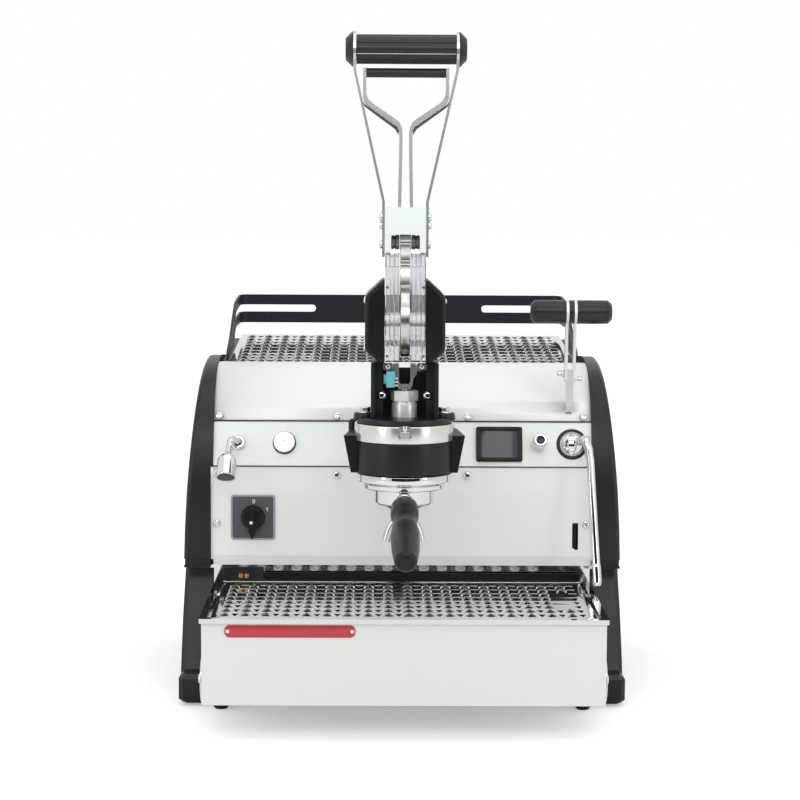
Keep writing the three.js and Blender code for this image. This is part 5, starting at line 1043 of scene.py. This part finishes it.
# painted shade: a dark ring for the shade in the gap round the button
lying("water_button_rim", rod(14.2, 0.1, 0.5, 0.1, inner=13), BUTTON_X, KNOB_ROW, gap_shade)
lying("menu_button_body", eased(MENU, 0.8), MENU_X, KNOB_ROW, chrome, "menu_button")
lying("menu_button_cap", MENU_CAP, MENU_X, KNOB_ROW, screen_glass, "menu_button")
lying("ball_ring", rod(18.9, 0.1, 0.9, 0.2, inner=16.9), BALL_X, BALL_ROW, black_plastic)
ball = on_console(BALL_X, -BALL_SUNK, BALL_ROW)
turned("steam_ball_skin", [(BALL * math.sin(a), -BALL * math.cos(a)) for a in BALL_TURNS], ball, OUT, chrome,
       "steam_ball")
lying("flange_skin", eased(FLANGE, 0.5), FLANGE_X, KNOB_ROW, chrome, "water_flange")


def bent_tube(name, places, radius, surface, node):
    """A smooth tube through places in millimetres."""
    tube(name, [p * MM for p in smooth_curve(places)], radius, surface, node)


# steam wand: one smooth bent tube from the ball with a slim tip
TIP = [(0, -28), (4.8, -28), (5.6, -24), (5.6, -5), (4.2, -1), (2.4, 0), (0, 0)]
ball /= MM
elbow = ball + Vector((13.2, -33.3, 11))
bend = elbow + Vector((3.4, -4.5, -10.5))
shoulder = bend + Vector((2, -3.5, -16))
tip = shoulder + Vector((7.5, -29, -146))
leave = ball + (elbow - ball).normalized() * 15.3
knee = [leave, leave.lerp(elbow, 0.35), leave.lerp(elbow, 0.68), elbow + Vector((0.3, 2.4, -0.8)),
        elbow + Vector((0.9, -1.8, -4.2)), bend, bend.lerp(shoulder, 0.5), shoulder]
bent_tube("wand_tube", knee + [shoulder.lerp(tip, k / 6) for k in range(1, 6)], 5.0, wand_steel,
          "steam_wand")
turned("wand_tip", eased(TIP, 0.8), tip * MM, tip - shoulder, wand_steel, "steam_wand", 32)

# hot water spout: bent pipe and a nozzle whose face tips towards the front
NOZZLE = [(0, 0), (4.6, 0), (8.4, 2.4), (10.9, 6.4), (11.5, 11), (11.5, 30), (10.8, 31), (9.8, 31),
          (9.6, 30), (0, 30)]
NOZZLE_WAY = Vector((-0.03, -0.6, -0.8))
root = on_console(FLANGE_X, 5.3, KNOB_ROW) / MM
top = root + Vector((-6.5, -24.1, 5.6))
drop = top + Vector((-2.4, -8.5, -15.5))
bent_tube("spout_pipe", [on_console(FLANGE_X, 0.6, KNOB_ROW) / MM, root,
                         root.lerp(top, 0.55) + Vector((0, 0, 1.0)), top + Vector((0.4, 3.6, -0.6)),
                         top + Vector((-0.4, -1.8, -2.6)), top.lerp(drop, 0.55), drop],
          4.2, chrome, "hot_water_spout")
nozzle_at = (drop + Vector((-1.2, 0, -2.4))) * MM
turned("spout_nozzle", eased(NOZZLE, 0.5), nozzle_at, NOZZLE_WAY, chrome, "hot_water_spout")
turned("nozzle_mesh", eased([(0, 30.5), (9.4, 30.5), (9.4, 29.6)], 0.1), nozzle_at, NOZZLE_WAY, switch_grey,
       "water spout", 48)

# power switch with plain marks
SWITCH_X, SWITCH_Z = -181, 218.8
KNOB = [(0, 11.4), (3, 11.4), (11.6, 11), (12.6, 9.6), (13.4, 8), (14.2, 3), (14.8, 0.3), (0, 0.3)]
POINTER_SIDE = [(2.6, 13.4), (3.4, 2), (4, -9), (4.8, -14.5), (0.7, -24.4)]
POINTER = [mirrored(POINTER_SIDE)[0], *POINTER_SIDE, *reversed(mirrored(POINTER_SIDE)[1:])]
ONE = [(-0.5, -2.4), (0.5, -2.4), (0.5, 2.4), (-0.3, 2.4), (-1.3, 1.4), (-1.3, 0.9), (-0.5, 1.3)]
ZERO = [rounded(1.6, 2.4, 1.5), rounded(0.8, 1.5, 0.7)]
switch_y = low_high("switch_plate")[0].y
middle = (SWITCH_X, SWITCH_Z)
knob = at(SWITCH_X, switch_y, SWITCH_Z)
slab("switch_rim", rounded(26.8, 27.5, 4, middle), switch_y + 0.4, switch_y + 2, switch_rim, "switch_plate",
     0.6)
slab("switch_face", rounded(24.6, 25.3, 2.6, middle), switch_y, switch_y + 0.8, switch_grey, "switch_plate",
     0.2)
turned("knob_disc", eased(KNOB, 0.5), knob, FORWARD, black_plastic, "power_knob")
slab("knob_ridge", [(x + SWITCH_X, z + SWITCH_Z) for x, z in softened(POINTER, 0.6)], switch_y - 16.9,
     switch_y - 4, black_plastic, "power_knob", 0.6)
turned("knob_dot", rod(1.9, 16.6, 17.4, 0.2), knob + Vector((-1.2, 0, -4)) * MM, FORWARD, pale_mark,
       "power knob", 20)
for name, outlines, x, z in (("mark_zero", ZERO, 1, 19.6), ("mark_one", [ONE], 17.4, 10)):
    mark = frame_at(knob + Vector((x, 0, z)) * MM, X_AXIS, Z_AXIS)
    flat_slab(name, outlines, 0, 0.3, mark, pale_mark, 0.05)

# steam lever: its turned grip, and the nut and screw of its block
STEAM_GRIP = [(0, 6.9), (14.3, 6.9), (14.3, 41), (13.7, 41.6), (14.2, 42.2), (14.2, 44), (9.6, 48.7),
              (0, 48.9)]
NUT = [(0, 10.6), (2, 10.4), (3.4, 9), (3.4, 4.6), (4.4, 4.4), (4.4, 1.2), (0, 1.2)]
BLOCK_SCREW = [(0, 9.4), (3, 9.4), (3.2, 4.6), (2.2, 4.4), (2.2, 1), (0, 1)]
steam_grip = sum(low_high("steam_lever_grip"), Vector()) / 2
for side, way in SIDES:
    turned(f"{side}_steam_grip", eased(STEAM_GRIP, 0.6), at(*steam_grip), (way, 0, 0), grip_black,
           "steam_lever_grip", 96)
turned("steam_grip_middle", rod(14.2, -2.9, 2.9), at(*steam_grip), X_AXIS, grip_black, "steam_lever_grip", 96)
for name, profile, way, up in (("steam_nut", eased(NUT, 0.5), -1, -75.4),
                               ("steam_screw", eased(BLOCK_SCREW, 0.4), 1, -81.6)):
    place = at(*(steam_grip + Vector((way * 5.4, 10, up))))
    turned(name, profile, place, (way, 0, 0), screw_steel, "steam lever", 24)


# Stage, light and camera


def stage_material(name, grey, glow):
    """A grey surface that the camera sees a little brighter than it is lit."""
    made = bpy.data.materials.new(name)
    made.use_nodes = True
    tree = made.node_tree
    shader = tree.nodes["Principled BSDF"]
    set_inputs(shader, Base_Color=(grey, grey, grey, 1), Roughness=0.9, Specular_IOR_Level=0,
               Emission_Color=(1, 1, 1, 1))
    seen = add(tree, "Math")
    seen.operation = "MULTIPLY"
    seen.inputs[1].default_value = glow
    tree.links.new(add(tree, "LightPath").outputs["Is Camera Ray"], seen.inputs[0])
    tree.links.new(seen.outputs["Value"], shader.inputs["Emission Strength"])
    return made


def sheet(name, places, surface):
    """A flat sheet of the studio, in metres."""
    mesh = bpy.data.meshes.new(name)
    mesh.from_pydata(places, [], [(0, 1, 2, 3)])
    mesh.materials.append(surface)
    return new_object(name, mesh)


FLOOR_HALF = 30.0
sheet("floor", [(x, y, 0) for x, y in corners(-FLOOR_HALF, FLOOR_HALF, -FLOOR_HALF, FLOOR_HALF)],
               stage_material("floor_white", 0.8, 0.35))

# the camera sees a white world; all else is lit by greys, from SKY_LOW below to SKY_HIGH above
SKY_LOW, SKY_HIGH = 0.8, 0.95
world = bpy.data.worlds.new("studio")
bpy.context.scene.world = world
world.use_nodes = True
sky = world.node_tree
white = add(sky, "Mix")
white.data_type = "RGBA"
white.inputs["B"].default_value = (1, 1, 1, 1)
split = add(sky, "SeparateXYZ")
height = add(sky, "MapRange", From_Min=-1)
ramp = add(sky, "ValToRGB")
for element, level in zip(ramp.color_ramp.elements, (SKY_LOW, SKY_HIGH)):
    element.color = (level, level, level, 1)
for start, output, end, socket in (
        (add(sky, "TexCoord"), "Generated", split, "Vector"), (split, "Z", height, "Value"),
        (height, "Result", ramp, "Fac"), (ramp, "Color", white, "A"),
        (add(sky, "LightPath"), "Is Camera Ray", white, "Factor"),
        (white, "Result", sky.nodes["Background"], "Color")):
    sky.links.new(start.outputs[output], end.inputs[socket])
set_inputs(sky.nodes["Background"], Strength=1)


def softbox(name, place, target, size, power):
    light = bpy.data.lights.new(name, "AREA")
    light.shape = "RECTANGLE"
    light.size, light.size_y = size
    light.energy = power
    lamp = new_object(name, light)
    lamp.location = place
    lamp.rotation_mode = "QUATERNION"
    lamp.rotation_quaternion = (Vector(target) - Vector(place)).to_track_quat("-Z", "Y")


softbox("overhead", (0, -0.6, 2.4), (0, 0, 0.2), (2.4, 1.6), 8.5)
softbox("over_camera", (0, -2.5, 1.75), (0, 0, 0.35), (2.2, 0.6), 12)
for side, way in SIDES:
    softbox(f"{side}_front", (1.9 * way, -1.7, 0.9), (0, 0, 0.35), (0.45, 1.5), 7)

# a dark flag round the camera, which only polished surfaces mirror
FLAG_Y = -2.75
flag = sheet("flag", [(x, FLAG_Y, z) for x, z in corners(-1.5, 2.0, 0.004, 0.95)],
             stage_material("flag_dark", 0.02, 0.0))
flag.visible_camera = flag.visible_diffuse = flag.visible_transmission = flag.visible_shadow = False

FOCAL_PX, PICTURE_PX = 2114, 800  # the photograph's focal length and width
camera_data = bpy.data.cameras.new("camera")
camera_data.sensor_width = 36
camera_data.lens = FOCAL_PX / PICTURE_PX * camera_data.sensor_width
camera_data.shift_x = -0.0006
camera = new_object("camera", camera_data)
camera.location = at(-29.7, -2305, 602)
pitch, yaw, roll = math.radians(5.4), math.radians(0.6), math.radians(0.3)
camera.rotation_mode = "QUATERNION"
camera.rotation_quaternion = (Matrix.Rotation(-yaw, 3, "Z") @ Matrix.Rotation(math.pi / 2 - pitch, 3, "X")
                              @ Matrix.Rotation(roll, 3, "Z")).to_quaternion()
bpy.context.scene.camera = camera
bpy.context.scene.view_settings.view_transform = "Standard"
